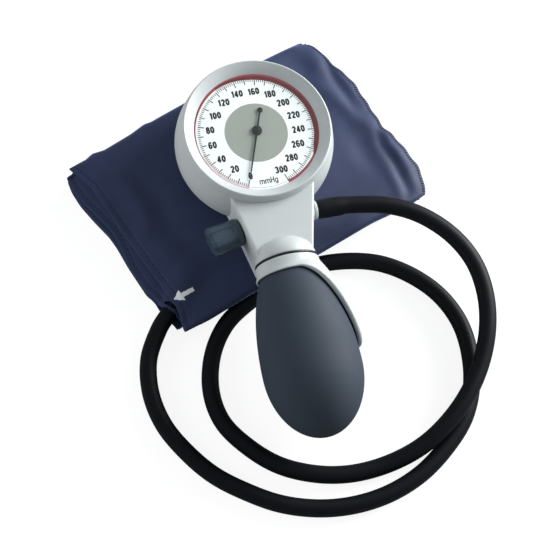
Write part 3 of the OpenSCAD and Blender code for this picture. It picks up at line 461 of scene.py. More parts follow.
def case_underside(points):
    """Height of the case's back above each point, less a small clearance: the plane n = -26 out
    to a radius of 33, and rising like the case's rounded edge past that."""
    n = gauge_axes[:, 2]
    z = dial_height + (-0.026 - n[0] * points[..., 0] - n[1] * points[..., 1]) / n[2]
    local = np.concatenate([points[..., :2], z[..., None]], -1) - (0, 0, dial_height)
    far = np.hypot(local @ gauge_axes[:, 0], local @ gauge_axes[:, 1])
    past = np.clip(far - 0.0325, 0, 0.0052)
    return z - 0.0004 + np.where(far > 0.0376, 1.0, 1.1 * past**1.35 * 1000**0.35)


def ramp(x, start, long):
    """Rises from 0 at the start to 1 a length further on, and stays level on both sides."""
    return np.clip((x - start) / long, 0, 1)


def cuff_surface(side):
    """One face of the strip: the middle line plus or minus its half thickness, which closes up at
    the hems and at the strip's two ends, with the folds of the top layer, the room that the hose
    takes between the layers, and the dent under the gauge."""
    y, z, half, layer = (strip[:, k][:, None] for k in range(4))
    t = across[None, :]
    left, right = left_edge(layer, y), right_edge(layer, y)
    x = left + (right - left) * t
    from_left, from_right = x - left, right - x
    hem_left, hem_right = 0.00055, 0.00075
    hem = hem_left + (half - hem_left) * ramp(from_left, 0.0022, 0.0075) ** 0.6
    hem = np.minimum(hem, hem_right + (half - hem_right) * ramp(from_right, 0.0016, 0.006) ** 0.6)
    hem *= (ramp(from_left, 0, 0.0006) * ramp(from_right, 0, 0.0008)) ** 0.5
    hem *= 1 - 0.4 * np.exp(-(((from_left - 0.003) / 0.0006) ** 2))
    s = strip_far[:, None]
    hem *= ramp(np.minimum(s, strip_far[-1] - s), 0, 0.0012) ** 0.5
    normal = np.stack([-ahead[:, 1], ahead[:, 0]], 1)
    yy, zz = y + normal[:, :1] * side * hem, z + normal[:, 1:] * side * hem
    x = x + 0 * yy
    top = ramp(layer, 3.2, 0.8)
    edge = np.minimum(from_left, from_right)
    soft = np.clip(edge / 0.004, 0.25, 1)
    zz = zz + top * soft * ramp(yy, cuff_front, 0.006) * top_folds(x, yy)
    wave = 0.00045 * np.sin(yy * 130 + 2.1 * layer + x * 40) * np.exp(-edge / 0.009)
    zz = zz + wave * ramp(layer, 0, 1)
    slope = 0.05 * ((x - 0.025).clip(0) + (-0.03 - x).clip(0)) * ramp(layer, 0, 4)
    gape = (-0.064 - x).clip(0) * np.clip(layer, 0, 2.5) * np.where(layer > 3.2, 0, 0.09)
    zz = zz - slope - gape * ramp(y, -0.03, 0.012)
    shift = np.interp(x * 1000, [-80, -70, -66, -60, -45, -37, -33, 0, 40, 55],
                      [0.1, -0.3, 0.7, -0.8, -0.5, 0.5, -0.3, 0, 0, -0.8]) / 1000
    cut = 0.0016 * ramp(x, 0.03, 0.02) * ramp(-yy, 0.03, 0.02)
    yy = yy + shift * ramp(yy, 0.02, 0.02) - cut
    return np.stack([x, yy, np.maximum(zz, 0.00005 + 0 * zz)], -1)


def to_world(p):
    """Turns the cuff's own coordinates to the model's frame."""
    c, s = math.cos(turn), math.sin(turn)
    return np.stack([c * p[..., 0] - s * p[..., 1], s * p[..., 0] + c * p[..., 1], p[..., 2]], -1)


hose_axis = unit(hose_line[-1] - hose_line[-4])


def about_hose(p):
    """How far a point lies past the hose's end along its axis, and its offset from the axis."""
    along = (p - hose_line[-1]) @ hose_axis
    cross = p - hose_line[-1] - along[..., None] * hose_axis
    return along, cross, np.linalg.norm(cross, axis=-1)


def make_room(p):
    """Moves cloth off the hose and the gauge. Within 11 mm of the hose's axis a point's distance
    d becomes R + d (11 - R) / 11, R being the hose's radius with a clearance, less so past its
    end; below the axis the reach is the height of the axis, so nothing goes through the table."""
    along, cross, d = about_hose(p)
    down = ramp(-cross[..., 2] / np.maximum(d, 1e-9), 0, 1)
    reach = 0.011 * (1 - down) + 0.0063 * down
    fade = (1 - ramp(along, 0.007, 0.016)) * ramp(along, -0.045, 0.01)
    wide = 0.0043 * fade
    pushed = wide + d * (reach - wide) / reach
    scale = np.where(d < reach, pushed / np.maximum(d, 1e-6), 1)
    p = hose_line[-1] + along[..., None] * hose_axis + cross * scale[..., None]
    roof = case_underside(p)
    over = np.clip(p[..., 2] - roof, 0, None)
    p[..., 2] = np.where(p[..., 2] > roof, roof - 0.02 * over, p[..., 2])
    return p


twill = {"Thread": 0.00052, "Roughness": 0.5, "Depth": 0.3}
cuff_cloth = patterned("cuff_cloth", WEAVE, (0.022, 0.033, 0.082), twill, Sheen_Weight=0.7,
                       Sheen_Roughness=0.38, Sheen_Tint=(0.40, 0.52, 1.0, 1),
                       Specular_IOR_Level=0.35)
faces_of_cuff = [make_room(to_world(cuff_surface(side))) for side in (1, -1)]
cuff_uv = np.stack(np.meshgrid(across * cuff_wide, strip_far), -1).reshape(-1, 2)
parts = []
for grid in faces_of_cuff:
    points, quads = quads_of(grid)
    along, _, off = about_hose(points[quads].mean(1))
    in_hose = (off < 0.0041) & (along < 0.004)
    parts.append((points, quads[~in_hose]))
cuff = make_piece("cuff_sleeve", parts, cuff_cloth,
                  uv=np.vstack([cuff_uv] * 2), sharp=60)
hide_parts("cuff_cover")

# The threads of the cuff: a row of lock stitches 3 mm inside the left hem, on both faces, and the
# overlock that winds round the right edge from one end of the strip to the other.
thread = moulded("navy_thread", (0.006, 0.008, 0.018), 0.6, shade=0.3, grains=5000, depth=0.2)


def beads(centres, along, out, length, thick):
    """A small pod at each centre: length along one way and thickness across the other two. A row
    of rings with radius sin(a), at cos(a) along, gives its shape."""
    a = np.linspace(0, np.pi, 6)[None, :, None, None]
    b = np.linspace(0, 2 * np.pi, 7)[None, None, :, None]
    side = np.cross(along, out)
    k = (slice(None), None, None)
    pods = (centres[k] + length / 2 * np.cos(a) * along[k]
            + thick / 2 * np.sin(a) * (np.cos(b) * side[k] + np.sin(b) * out[k]))
    return [quads_of(p) for p in pods]


def between(grid, i, j):
    """The grid's points at fractional rows i and columns j, each mixed from the four round it."""
    i0, j0 = (np.clip(k.astype(int), 0, n - 2) for k, n in zip((i, j), grid.shape))
    a, b = (i - i0)[:, None], (j - j0)[:, None]
    return ((1 - a) * (1 - b) * grid[i0, j0] + a * (1 - b) * grid[i0 + 1, j0]
            + (1 - a) * b * grid[i0, j0 + 1] + a * b * grid[i0 + 1, j0 + 1])


def on_strip(s, t, side):
    """Points, headings and outward directions on a face of the finished cuff, at distances s
    along the strip and shares t across it, read from its grid."""
    grid = faces_of_cuff[0 if side > 0 else 1]
    i = np.interp(s, strip_far, np.arange(len(strip_far)))
    j = np.interp(t, across, np.arange(len(across)))
    i0, j0 = np.clip(i.astype(int), 0, len(strip_far) - 2), np.clip(j.astype(int), 0, len(across) - 2)
    way = grid[i0 + 1, j0] - grid[i0, j0]
    wide = grid[i0, np.minimum(j0 + 2, len(across) - 1)] - grid[i0, j0]
    out = np.cross(wide, way) * side
    return between(grid, i, j), unit(way), out / np.maximum(np.linalg.norm(out, axis=1), 1e-12)[:, None]


stitches = []
for side in (1, -1):
    s = np.arange(0.002, strip_far[-1] - 0.002, 0.0026)
    p, way, out = on_strip(s, np.full(len(s), 0.003 / 0.1405), side)
    stitches += beads(p + 0.00004 * out, way, out, 0.0019, 0.00034)
s = np.arange(0.0006, strip_far[-1] - 0.0006, 0.00014)
edge_share, pitch = 0.9905, 0.00125
p1, way, out = on_strip(s, np.full(len(s), edge_share), 1)
p2, _, _ = on_strip(s, np.full(len(s), edge_share), -1)
wide = unit(np.cross(way, out))
phase = (2 * np.pi * s / pitch)[:, None]
high = np.linalg.norm(p1 - p2, axis=1)[:, None] / 2 + 0.0002
wind = (p1 + p2) / 2 + 0.0009 * np.cos(phase) * wide + high * np.sin(phase) * out
overlock = quads_of(closed_ends(rings_along(wind, 0.00021, 5)))
threads = make_piece("cuff_threads", [*stitches, overlock], thread, sharp=80)

# The arrow: a plain printed mark near the left hem that shows where the cuff is set on the arm.
# It is a thin film that follows the cloth.
arrow_ink = moulded("arrow_ink", (0.92, 0.95, 0.97), 0.6, shade=0.15, grains=4000, depth=0.15)
top_run = np.where(strip[:, 3] == 4)[0]


def cuff_top_at(x, y):
    """Points of the finished cuff's top face, in the model's frame, found from places x, y in the
    cuff's own coordinates before the hose and the gauge press on it."""
    flat, made = cuff_surface(1)[top_run], faces_of_cuff[0][top_run]
    i = np.interp(y, flat[:, 6, 1], np.arange(len(top_run)))
    rows = flat[np.clip(i.astype(int), 0, len(top_run) - 2), :, 0]
    j = np.array([np.interp(a, row, np.arange(len(across))) for a, row in zip(x, rows)])
    return between(made, i, j)


def arrow_film():
    """A grid along the arrow: its half width rises from the tip to the barbs and drops to that of
    the shaft. The film is the grid lifted off the cloth, closed by the same grid on the cloth."""
    head, shaft = 0.0042, 0.0102
    at = np.concatenate([np.linspace(0, head, 12), np.linspace(head + 0.00001, shaft, 12)])
    half = np.where(at < head + 0.00001, 0.0025 * at / head, 0.00095)
    share = np.linspace(-1, 1, 9)
    x = -0.0709 + at[:, None] + 0 * share
    y = -0.0397 + half[:, None] * share + 0.00008 * np.sin(at[:, None] * 2600)
    cloth_at = cuff_top_at(x.ravel(), y.ravel()).reshape(*x.shape, 3)
    top, low = cloth_at + (0, 0, 0.00022), cloth_at - (0, 0, 0.00003)
    return quads_of(closed_ends(np.concatenate([top, low[:, ::-1], top[:, :1]], 1)))


arrow = make_piece("cuff_arrow", [arrow_film()], arrow_ink)


# The case and its bezel: moulded shells of satin grey-white plastic, pressed together at the rim.
# The bezel slopes in to the dial and ends above in a thin round lip.
def turned(profile, steps=180, start=0.0):
    """A profile of (radius, height) turned about the height axis: column k stands at the angle
    start + 2 pi k / steps. The last column repeats the first."""
    p = np.asarray(profile, float)
    a = start + np.linspace(0, 2 * np.pi, steps + 1)
    return np.stack([p[:, 0, None] * np.cos(a), p[:, 0, None] * np.sin(a), p[:, 1, None] + 0 * a], -1)


def rounded(profile, radius, steps=5, closed=True):
    """The profile with each corner cut to an arc: a Bezier curve from one radius before the corner
    to one past it, less where a side is short. The radius may be one per corner."""
    p = np.asarray(profile, float)
    r = np.broadcast_to(radius, len(p))
    before, after = np.roll(p, 1, 0) - p, np.roll(p, -1, 0) - p
    lb, la = np.linalg.norm(before, axis=1), np.linalg.norm(after, axis=1)
    cut = np.minimum(r, np.minimum(lb, la) * 0.45)[:, None]
    a, b = p + before / lb[:, None] * cut, p + after / la[:, None] * cut
    t = np.linspace(0, 1, steps)[None, :, None]
    q = (1 - t) ** 2 * a[:, None] + 2 * t * (1 - t) * p[:, None] + t**2 * b[:, None]
    if not closed:
        q[0], q[-1] = p[0], p[-1]
    q = q.reshape(-1, 2)
    return np.vstack([q, q[:1]]) if closed else q


shell_plastic = moulded("shell_plastic", (0.475, 0.51, 0.515), 0.42, shade=0.03, grains=3500,
                        depth=0.06)
case_profile = rounded(
    [(33.2, -26), (34.4, -25), (36.9, -20), (37.6, -14), (37.1, -8), (35.38, -0.05), (31.6, -0.05),
     (31.6, -0.8), (29.9, -0.8), (29.9, -2.2), (33.4, -4.8), (35.4, -8), (36, -14), (35.2, -20),
     (32.5, -24), (0.02, -24), (0.02, -26)],
    [0.8, 1.2, 4, 4, 4, 0.2, 0.1, 0.1, 0.1, 0.1, 0.3, 1, 3, 1, 0.3, 0, 0])
case = make_piece("case_shell", [quads_of(in_gauge(turned(case_profile)))], shell_plastic)
bezel_profile = rounded(
    [(29, 0), (31.25, 2.35), (32.45, 3.35), (33.35, 4.0), (33.7, 4.25), (34.1, 4.12), (34.45, 3.6),
     (35.4, 0.02)],
    [0.12, 0.8, 0.8, 0.3, 0.25, 0.2, 0.4, 0.25])
bezel = make_piece("bezel_shell", [quads_of(in_gauge(turned(bezel_profile)))], shell_plastic)
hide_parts("bezel_ring")
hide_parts("gauge_case")

# The dial: a white plate with its scale, numbers and a grey-green centre printed on it. The bezel's
# shade on the red ring's upper right is painted as a darker red-brown film. Each ink is a film a
# few hundredths of a millimetre high.
dial_white = moulded("dial_white", (0.84, 0.90, 0.90), 0.5, shade=0.02, grains=6000, depth=0.03)
nodes["dial_plate"].data.materials.clear()
nodes["dial_plate"].data.materials.append(dial_white)


def at_value(value):
    """Angle of a reading on the scale, clockwise from the top: 0 at -160 degrees, 300 at +160."""
    return np.radians(-160 + np.asarray(value, float) * 320 / 300)


print_shift = np.array([-0.45, -0.7])


def on_dial(points):
    """Points of the print to metres. All of it lies a little low and to the left on the plate."""
    return in_gauge(np.asarray(points) + (*print_shift, 0))


def band(inner, outer, first, last, lift=0.03, step=1.0):
    """A printed ring from one angle to another, in degrees clockwise from the top: a flat loop of
    four corners carried round the dial's centre. Its radii may change along it."""
    n = max(3, int(abs(last - first) / step) + 1)
    a = np.radians(np.linspace(first, last, n))
    low, high = np.broadcast_to(inner, n), np.broadcast_to(outer, n)
    r = np.stack([low, high, high, low, low], 1)
    h = np.broadcast_to([lift, lift, 0.002, 0.002, lift], r.shape)
    grid = np.stack([r * np.sin(a)[:, None], r * np.cos(a)[:, None], h], -1)
    return quads_of(on_dial(closed_ends(grid)))


def beside(way, width):
    """Half a width to the left of each heading."""
    way = unit(way)
    return np.stack([-way[:, 1], way[:, 0]], 1) * (np.broadcast_to(width, len(way)) / 2)[:, None]


def bars(a, b, width, lift=0.03):
    """A thin printed bar from each point of a to the one of b: four corners on the plate and four
    above, as six quads each."""
    a, b = np.asarray(a, float), np.asarray(b, float)
    side = beside(b - a, width)
    flat = np.stack([a - side, a + side, b + side, b - side], 1)
    points = np.concatenate(
        [np.concatenate([flat, 0 * flat[..., :1] + h], -1) for h in (0.002, lift)], 1)
    faces = np.array([(0, 1, 2, 3), (4, 7, 6, 5), (0, 4, 5, 1), (1, 5, 6, 2), (2, 6, 7, 3),
                      (3, 7, 4, 0)])
    faces = faces[None] + 8 * np.arange(len(a))[:, None, None]
    return on_dial(points.reshape(-1, 3)), faces.reshape(-1, 4)


def ribbon(points, width, low=0.002, high=0.034):
    """A flat printed stroke along a line of points in the dial's plane: its section is a loop of
    four corners, and the width may change along it."""
    p = np.asarray(points, float)
    side = beside(np.gradient(p, axis=0), width)
    loop = [(p - side, high), (p + side, high), (p + side, low), (p - side, low), (p - side, high)]
    grid = np.stack([np.column_stack([q, np.full(len(p), h)]) for q, h in loop], 1)
    return quads_of(on_dial(closed_ends(grid)))


def arc(x, y, rx, ry, first, last):
    """Points of an ellipse's arc, its angles in degrees anticlockwise from the right."""
    a = np.radians(np.linspace(first, last, max(5, int(abs(last - first) / 14))))
    return list(zip(x + rx * np.cos(a), y + ry * np.sin(a)))


# Strokes of each sign in a box one unit high, with the sign's width.
signs = {
    "0": (0.46, [arc(0.23, 0.5, 0.23, 0.5, 90, 450)]),
    "1": (0.30, [[(0.03, 0.74), (0.14, 0.80), (0.24, 1.04)], [(0.26, 1.1), (0.26, -0.1)]]),
    "2": (0.46, [arc(0.23, 0.73, 0.21, 0.27, 175, -25) + [(0.26, 0.34), (0.05, 0.0)],
                 [(-0.06, 0.0), (0.54, 0.0)]]),
    "3": (0.46, [arc(0.21, 0.75, 0.19, 0.25, 165, -80) + arc(0.21, 0.26, 0.23, 0.26, 75, -165)]),
    "4": (0.48, [[(0.34, -0.1), (0.34, 1.08)], [(0.33, 1.0), (-0.01, 0.25)],
                 [(-0.1, 0.24), (0.58, 0.24)]]),
    "6": (0.46, [arc(0.23, 0.28, 0.22, 0.28, 90, 450),
                 arc(0.25, 0.56, 0.25, 0.44, 38, 180) + [(0.0, 0.28)]]),
    "8": (0.46, [arc(0.23, 0.75, 0.19, 0.25, 90, 450), arc(0.23, 0.26, 0.23, 0.26, 90, 450)]),
    "m": (0.80, [[(0, -0.04), (0, 0.68)], arc(0.2, 0.45, 0.2, 0.2, 180, 0) + [(0.4, -0.04)],
                 arc(0.6, 0.45, 0.2, 0.2, 180, 0) + [(0.8, -0.04)]]),
    "H": (0.50, [[(0, -0.04), (0, 1.04)], [(0.5, -0.04), (0.5, 1.04)], [(0, 0.52), (0.5, 0.52)]]),
    "g": (0.44, [arc(0.22, 0.33, 0.22, 0.33, 90, 450),
                 [(0.44, 0.68), (0.44, 0.0)] + arc(0.22, -0.05, 0.22, 0.22, 0, -150)]),
}


def word(text, centre, high, stroke, space):
    """A word of strokes, set about its centre, its signs drawn 0.9 wide. Each stroke lies a little
    over the one before."""
    wide = sum(signs[c][0] for c in text) * 0.9 * high + space * (len(text) - 1)
    x, found = -wide / 2, []
    for c in text:
        for k, line in enumerate(signs[c][1]):
            at = np.asarray(line, float) * (0.9 * high, high) + (x, -high / 2) + centre
            found.append(ribbon(at, stroke, high=0.032 + 0.003 * k))
        x += signs[c][0] * 0.9 * high + space
    return found


def ink(name, colour, roughness=0.5, shade=0.2, depth=0.05, **values):
    """A printing ink, nearly smooth."""
    return moulded(name, colour, roughness, shade=shade, grains=6000, depth=depth, **values)


def on_ring(r, a):
    """Points at a radius and at angles clockwise from the top."""
    return np.stack([r * np.sin(a), r * np.cos(a)], 1)


def ticks(inner, outer, a, width, **lift):
    """Bars across a ring at the angles given."""
    whole = np.ones(len(a))
    return bars(on_ring(inner * whole, a), on_ring(outer * whole, a), width, **lift)


black_ink = ink("black_ink", (0.004, 0.005, 0.006), 0.6, Specular_IOR_Level=0.15)
grey_ink = ink("fine_line_ink", (0.012, 0.014, 0.018), 0.6, Specular_IOR_Level=0.15)
red_ink, pink_ink = ink("red_ink", (0.27, 0.02, 0.03)), ink("pink_ink", (0.50, 0.08, 0.10))
sage_ink = ink("sage_ink", (0.275, 0.315, 0.275), shade=0.04, depth=0.04)
# Painted shade: a red-brown ink that stands for the bezel's shadow on the red ring.
painted_shade_red = ink("painted_shade_red_ink", (0.14, 0.009, 0.007), 0.7, shade=0.3, Specular_IOR_Level=0.08)
readings = np.arange(0, 301, 2)
inner = np.where(readings % 10 > 0, 25.85, np.where(readings % 20 > 0, 24.5, 24.15))
scale_lines = [ticks(inner, 27.1, at_value(readings), np.where(readings % 10 > 0, 0.32, 0.44))]
centres = {
    0: (-7.34, -20.66), 20: (-13.71, -16.04), 40: (-18.68, -10.14), 60: (-21.24, -2.76),
    80: (-20.76, 4.81), 100: (-16.97, 11.55), 120: (-11.73, 17.4), 140: (-4.71, 20.67),
    160: (3.2, 20.64), 180: (10.52, 18.11), 200: (15.73, 12.77), 220: (19.06, 5.75),
    240: (19.72, -1.65), 260: (17.78, -8.84), 280: (13.31, -15.03), 300: (7.31, -19.96),
}
sign_high = 2.75
scale_numbers = [stroke for k, c in centres.items() for stroke in word(str(k), c, sign_high, 0.8, 0.9)]
scale_numbers += word("mmHg", (0.41, -24.15), sign_high, 0.42, 0.66)
scale_numbers += [band(28.45, 28.7, 160, 200, lift=0.032), band(27.4, 27.5, 160, 198, lift=0.03)]
stop_from = [(-10.3, -25.5), (-8.9, -25.9), (-9.1, -26.85)]
stop_to = [(-8.9, -25.9), (-9.15, -26.95), (-10.6, -26.5)]
scale_numbers += [bars(stop_from, stop_to, 0.12)]
whole_line = band(28.05, 29.9, -160, 160, lift=0.02)
wedge = band(np.linspace(28.1, 27.15, 36), 29.8, 123, 158.6, lift=0.024)
stop_block = band(26.9, 28.96, 158.4, 160.6, lift=0.036)
# Painted shade of the bezel on the red ring's upper right, from -30 to 122 degrees: a band of the
# red-brown ink over the red print, with fine ticks across it in the same ink.
reach = np.interp(np.linspace(-30, 122, 153), [-30, 5, 112, 122], [28.1, 26.95, 26.95, 28.0])
painted_shade_band = band(reach, 28.9, -30, 122, lift=0.028)
ticks_in_painted_shade = ticks(27.0, 28.9, at_value(np.arange(122, 264, 1.0)), 0.13, lift=0.034)
dashes = ticks(26.55, 28.0, at_value(np.arange(0, 52, 1.0)), 0.17)
for name, films, colour in [
    ("scale_lines", scale_lines, grey_ink),
    ("scale_numbers", scale_numbers, black_ink),
    ("red_ring", [whole_line, wedge, stop_block], red_ink),
    ("ring_painted_shade", [painted_shade_band, ticks_in_painted_shade], painted_shade_red),
    ("pink_ring", [dashes], pink_ink),
    ("dial_centre", [band(1.05, 14.7, -180, 180, lift=0.02)], sage_ink),
]:
    make_piece(name, films, colour, sharp=30)

# The pointer: a black enamelled needle with a round counterweight, pressed on its arbor under a
# small boss. The lens above it is clear acrylic, seated on a pale gasket.
pointer_black = moulded("pointer_black", (0.004, 0.004, 0.005), 0.45, shade=0.2, grains=3000,
                        depth=0.05, Specular_IOR_Level=0.15)
away = on_ring(1.0, np.array([math.radians(-160)]))[0]
tail, tip = -11, 25.5
along = np.linspace(tail, tip, 60)
needle_width = np.interp(along, [tail, -2, 2, 20, tip], [0.7, 0.82, 0.95, 0.62, 0.2])
arm = ribbon(along[:, None] * away - print_shift, needle_width, low=0.6, high=0.9)
weight = rounded([(0.02, 0.55), (1.3, 0.55), (1.3, 0.98), (0.02, 0.98)], [0, 0.1, 0.15, 0],
                 closed=False)
weight = turned(weight, 40) + (*(-10.4 * away), 0)
hub = rounded([(0.02, 0.3), (2.4, 0.3), (2.4, 0.95), (2.05, 1.22), (1.0, 1.32), (0.85, 2.2),
               (0.7, 2.33), (0.02, 2.34)], [0, 0.1, 0.3, 0.3, 0.15, 0.15, 0.1, 0], closed=False)
pointer = make_piece("pointer_arm", [arm, *[quads_of(in_gauge(p)) for p in (weight, turned(hub, 64))]],
                     pointer_black, body="indicator")
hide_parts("pointer")
lens_clear, _ = new_finish("lens_clear", Base_Color=(0.9, 0.95, 1, 1), Roughness=0.02, Alpha=0.02)


# The movement: brass plates and gears, steel arbors and screws, and a copper-alloy capsule, all
# closed in by the case. Brushed grain runs across each plate.
def brushed_metal():
    """A node group for machined metal: noise drawn out along one way, for the roughness, a fine
    bump and a slight tint."""
    group, given = pattern_group("brushed_metal")
    place = add_node(group, "TexCoord").outputs["Object"]
    place = add_node(group, "Mapping", {"Vector": place, "Scale": (400, 6000, 6000)}).outputs[0]
    streak = noise(group, place, 1.0, 3.0)
    tint = number(group, "MULTIPLY_ADD", streak, 0.3, 0.85)
    rough = number(group, "MULTIPLY_ADD", streak, 0.2, given["Roughness"])
    return close_group(group, given, tint, rough, streak, 0.00002)


BRUSHED = brushed_metal()


def metal(name, colour, roughness):
    """A machined metal: the brushed group feeds colour, roughness and normal."""
    return patterned(name, BRUSHED, colour, {"Roughness": roughness, "Depth": 0.3}, Metallic=1.0)


brass, steel = metal("brass", (0.72, 0.55, 0.26), 0.25), metal("steel", (0.56, 0.57, 0.59), 0.25)
finishes = {
    metal("spring_steel", (0.5, 0.53, 0.6), 0.2): ["hairspring"],
    metal("copper_alloy", (0.70, 0.42, 0.28), 0.3): ["pressure_capsule"],
    brass: ["pinion_arbor", "hairspring_stud", "movement_plate", "movement_bridge", "sector_gear",
            "capsule_stud", "capsule_spigot", "valve_seat", "valve_needle"],
    steel: ["plate_pillars", "plate_screws", "bridge_posts", "bridge_screws", "sector_arbor",
            "rocker_shaft", "rocker_brackets", "neck_screws", "cover_screws", "valve_spindle",
            "valve_gland"],
    lens_clear: ["lens"],
    moulded("pale_gasket", (0.62, 0.66, 0.66), 0.5, shade=0.1): ["lens_gasket"],
    moulded("seal_rubber", (0.012, 0.012, 0.013), 0.5, shade=0.2): ["valve_o_ring"],
    shell_plastic: ["neck_cover", "bulb_nipple"],
    moulded("valve_disc_rubber", (0.10, 0.10, 0.105), 0.55, shade=0.2):
        ["outlet_valve_disc", "inlet_valve_disc"],
    moulded("bladder_rubber", (0.03, 0.03, 0.032), 0.6, shade=0.25): ["cuff_bladder", "bladder_port"],
    moulded("filter_felt", (0.75, 0.75, 0.72), 0.9, shade=0.2, grains=3000, depth=0.9): ["filter_pad"],
    moulded("hook_and_loop", (0.012, 0.013, 0.022), 0.9, shade=0.4, depth=1.0):
        ["hook_strip", "loop_panel"],
}
for finish, names in finishes.items():
    for name in names:
        nodes[name].data.materials.clear()
        nodes[name].data.materials.append(finish)


# The neck: one moulding with the same satin skin as the case. Its flat front tapers to the bulb's
# end, where a half dome takes the round socket of the bulb's nipple.
neck_end, axis_deep, valve_down, valve_deep = 62.9, 5, 39.5, 10


def neck_half(d):
    """Half the neck's width at a distance below the dial's centre."""
    return 19.3 - 0.205882 * (d - 28.9)


def case_radius(n):
    """Outer radius of the case at a height in the gauge's frame."""
    return np.interp(n, [-26, -25, -20, -14, -8, 0], [33.3, 34.5, 37.2, 38, 37.4, 35.4])


def neck_skin():
    """A round-cornered section carried from inside the case to the neck's end: a point at share t
    lies on the line from the case's curve to the end plane. The section is four arcs, each joined
    to the next by a straight side; its columns are the corner's signs and the arc's cosine and sine."""
    front, back, soft = -0.3, -23.7, 1.1
    corner = np.linspace(0, np.pi / 2, 9)[:, None]
    arcs = []
    for k, signs_of_corner in enumerate([(1, 1), (-1, 1), (-1, -1), (1, -1)]):
        a = k * np.pi / 2 + corner
        arcs.append(np.hstack([0 * a + signs_of_corner, np.cos(a), np.sin(a)]))
    ring = []
    for rows, after, between_them in zip(arcs, arcs[1:] + arcs[:1], (28, 12, 28, 12)):
        ring += [rows, np.linspace(rows[-1], after[0], between_them + 2)[1:-1]]
    ring = np.vstack([*ring, arcs[0][:1]])
    share = np.concatenate([np.linspace(0, 0.97, 40), [0.98, 0.987, 0.993, 0.997, 1.0]])
    n = (front + back) / 2 + ring[:, 1] * ((front - back) / 2 - soft) + soft * ring[:, 3]
    pull = 0.5 * (1 - np.sqrt(1 - ramp(share, 0.985, 0.015) ** 2))
    d = 45.0 + 0 * n[None, :]
    for _ in range(4):
        wider = 1.3 * (1 - ramp(d, 30, 30)) * (ring[:, 0] > 0)
        x = ring[:, 0] * (neck_half(d) - soft + wider) + soft * ring[:, 2]
        start = np.sqrt(np.clip((case_radius(n) - 0.9) ** 2 - x**2, 0, None))
        d = start + (neck_end - start) * share[:, None]
    x = x - pull[:, None] * ring[:, 2]
    n = n[None, :] - pull[:, None] * ring[:, 3] + 0 * x
    return np.stack([x, -d, n], -1)


def down_axis(p):
    """Millimetres about the bulb's axis (x right, y out of the dial, z down) to the model."""
    return in_gauge(np.stack([p[..., 0], -p[..., 2], p[..., 1] - axis_deep], -1))


def dome_skin():
    """Half an egg of radius 13.8 about the bulb's axis and 10.2 long, cut at the neck's end with a
    small round edge: the radius at a distance d is the egg's, and the edge turns in at the end."""
    a = np.linspace(0, np.pi / 2, 40)
    egg_end = np.stack([13.8 * np.sin(a), 62 - 10.2 * np.cos(a)], 1)
    rim = [(13.78, 62.5), (13.6, 62.8), (13.3, neck_end), (0.02, neck_end)]
    return down_axis(turned(np.vstack([egg_end, rim]), 144))


neck_parts = [quads_of(in_gauge(closed_ends(neck_skin()))), quads_of(dome_skin())]
neck = make_piece("neck_shell", neck_parts, shell_plastic)
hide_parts("neck_body")


# The hose connector: a short white collar of two rings at the neck's right side. The hose goes
# over its spigot.
def turned_across(profile, steps=96):
    """A profile of (radius, distance to the right) turned about the connector's axis."""
    p = turned(profile, steps)
    return in_gauge(np.stack([p[..., 2], p[..., 0] - valve_down, p[..., 1] - valve_deep], -1))


def collar_ring(a, b, r):
    """The profile of a ring of radius r from a to b along the axis."""
    return rounded([(2.6, a), (r, a), (r, b), (2.6, b)], [0, 0.45, 0.45, 0])


stem = rounded([(0.9, 12), (3.4, 12), (3.4, 20.6), (2.55, 20.8), (2.55, 30.5), (0.9, 30.5)],
               [0, 0, 0.1, 0.1, 0.3, 0.2])
profiles = [collar_ring(16.6, 18.7, 4.6), collar_ring(18.9, 20.4, 4.45), stem]
fitting = make_piece("connector_rings", [quads_of(turned_across(p)) for p in profiles], shell_plastic)
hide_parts("hose_connector")

# The valve's knob: a slate-tinted plastic cap with six flutes for the fingers, closed towards the
# neck. It turns on the needle's spindle.
valve_turn, knob_start, knob_flutes = math.radians(193), 17.2687, 6


def in_valve(p):
    """Millimetres about the valve's axis (x, y across, z outwards) to metres in the model."""
    z = np.array([math.cos(valve_turn), math.sin(valve_turn), 0])
    x, y = np.array([0, 0, -1.0]), np.array([-math.sin(valve_turn), math.cos(valve_turn), 0])
    return in_gauge(p[..., :1] * x + p[..., 1:2] * y + p[..., 2:] * z + (0, -valve_down, -valve_deep))


def knob_skin():
    """The knob's radius is a slow swell along z, less a flute's depth times a smooth step along z
    and the round trough at each of its places, with round edges at both ends."""
    low_end, high_end = [0, 0.15, 0.4, 0.8, 1.3], [13.9, 14.3, 14.6, 14.8, 14.93, 15]
    z = np.concatenate([low_end, np.linspace(1.8, 13.4, 40), high_end])
    base = 6.55 + 0.6 * np.sin(ramp(z, 0, 14) * np.pi / 2) ** 1.5
    base -= 0.8 * (1 - np.sqrt(1 - (1 - ramp(z, 0, 0.8)) ** 2))
    base -= 1.6 * (1 - np.sqrt(1 - ramp(z, 13.2, 1.8) ** 2))
    a = np.linspace(0, 2 * np.pi, 241)
    half_turn = np.pi / knob_flutes
    off = np.abs((a + half_turn) % (2 * half_turn) - half_turn) * 7
    flute_half, flute_deep = 2.35, 1.15
    trough = np.sqrt(np.clip(1 - (off / flute_half) ** 2, 0, 1))
    ends = np.sqrt(np.clip(1 - (np.clip(5.2 - z, 0, flute_half) / flute_half) ** 2, 0, 1))
    r = base[:, None] - flute_deep * trough * ends[:, None]
    return closed_ends(np.stack([r * np.cos(a), r * np.sin(a), z[:, None] + knob_start + 0 * r], -1))


knob_plastic = moulded("knob_plastic", (0.040, 0.066, 0.095), 0.36, shade=0.25, grains=900, depth=0.08)
knob = make_piece("knob_shell", [quads_of(in_valve(knob_skin()))], knob_plastic, body="knob",
                  sharp=50)
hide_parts("valve_knob")


# The bulb and its ring: a moulded rubber egg pushed over the nipple, under a black sealing ring.
# The rubber is a satin slate grey.
widest, bulb_r, bulb_up, bulb_down = 114.2, 22.3, 56.6, 30.4


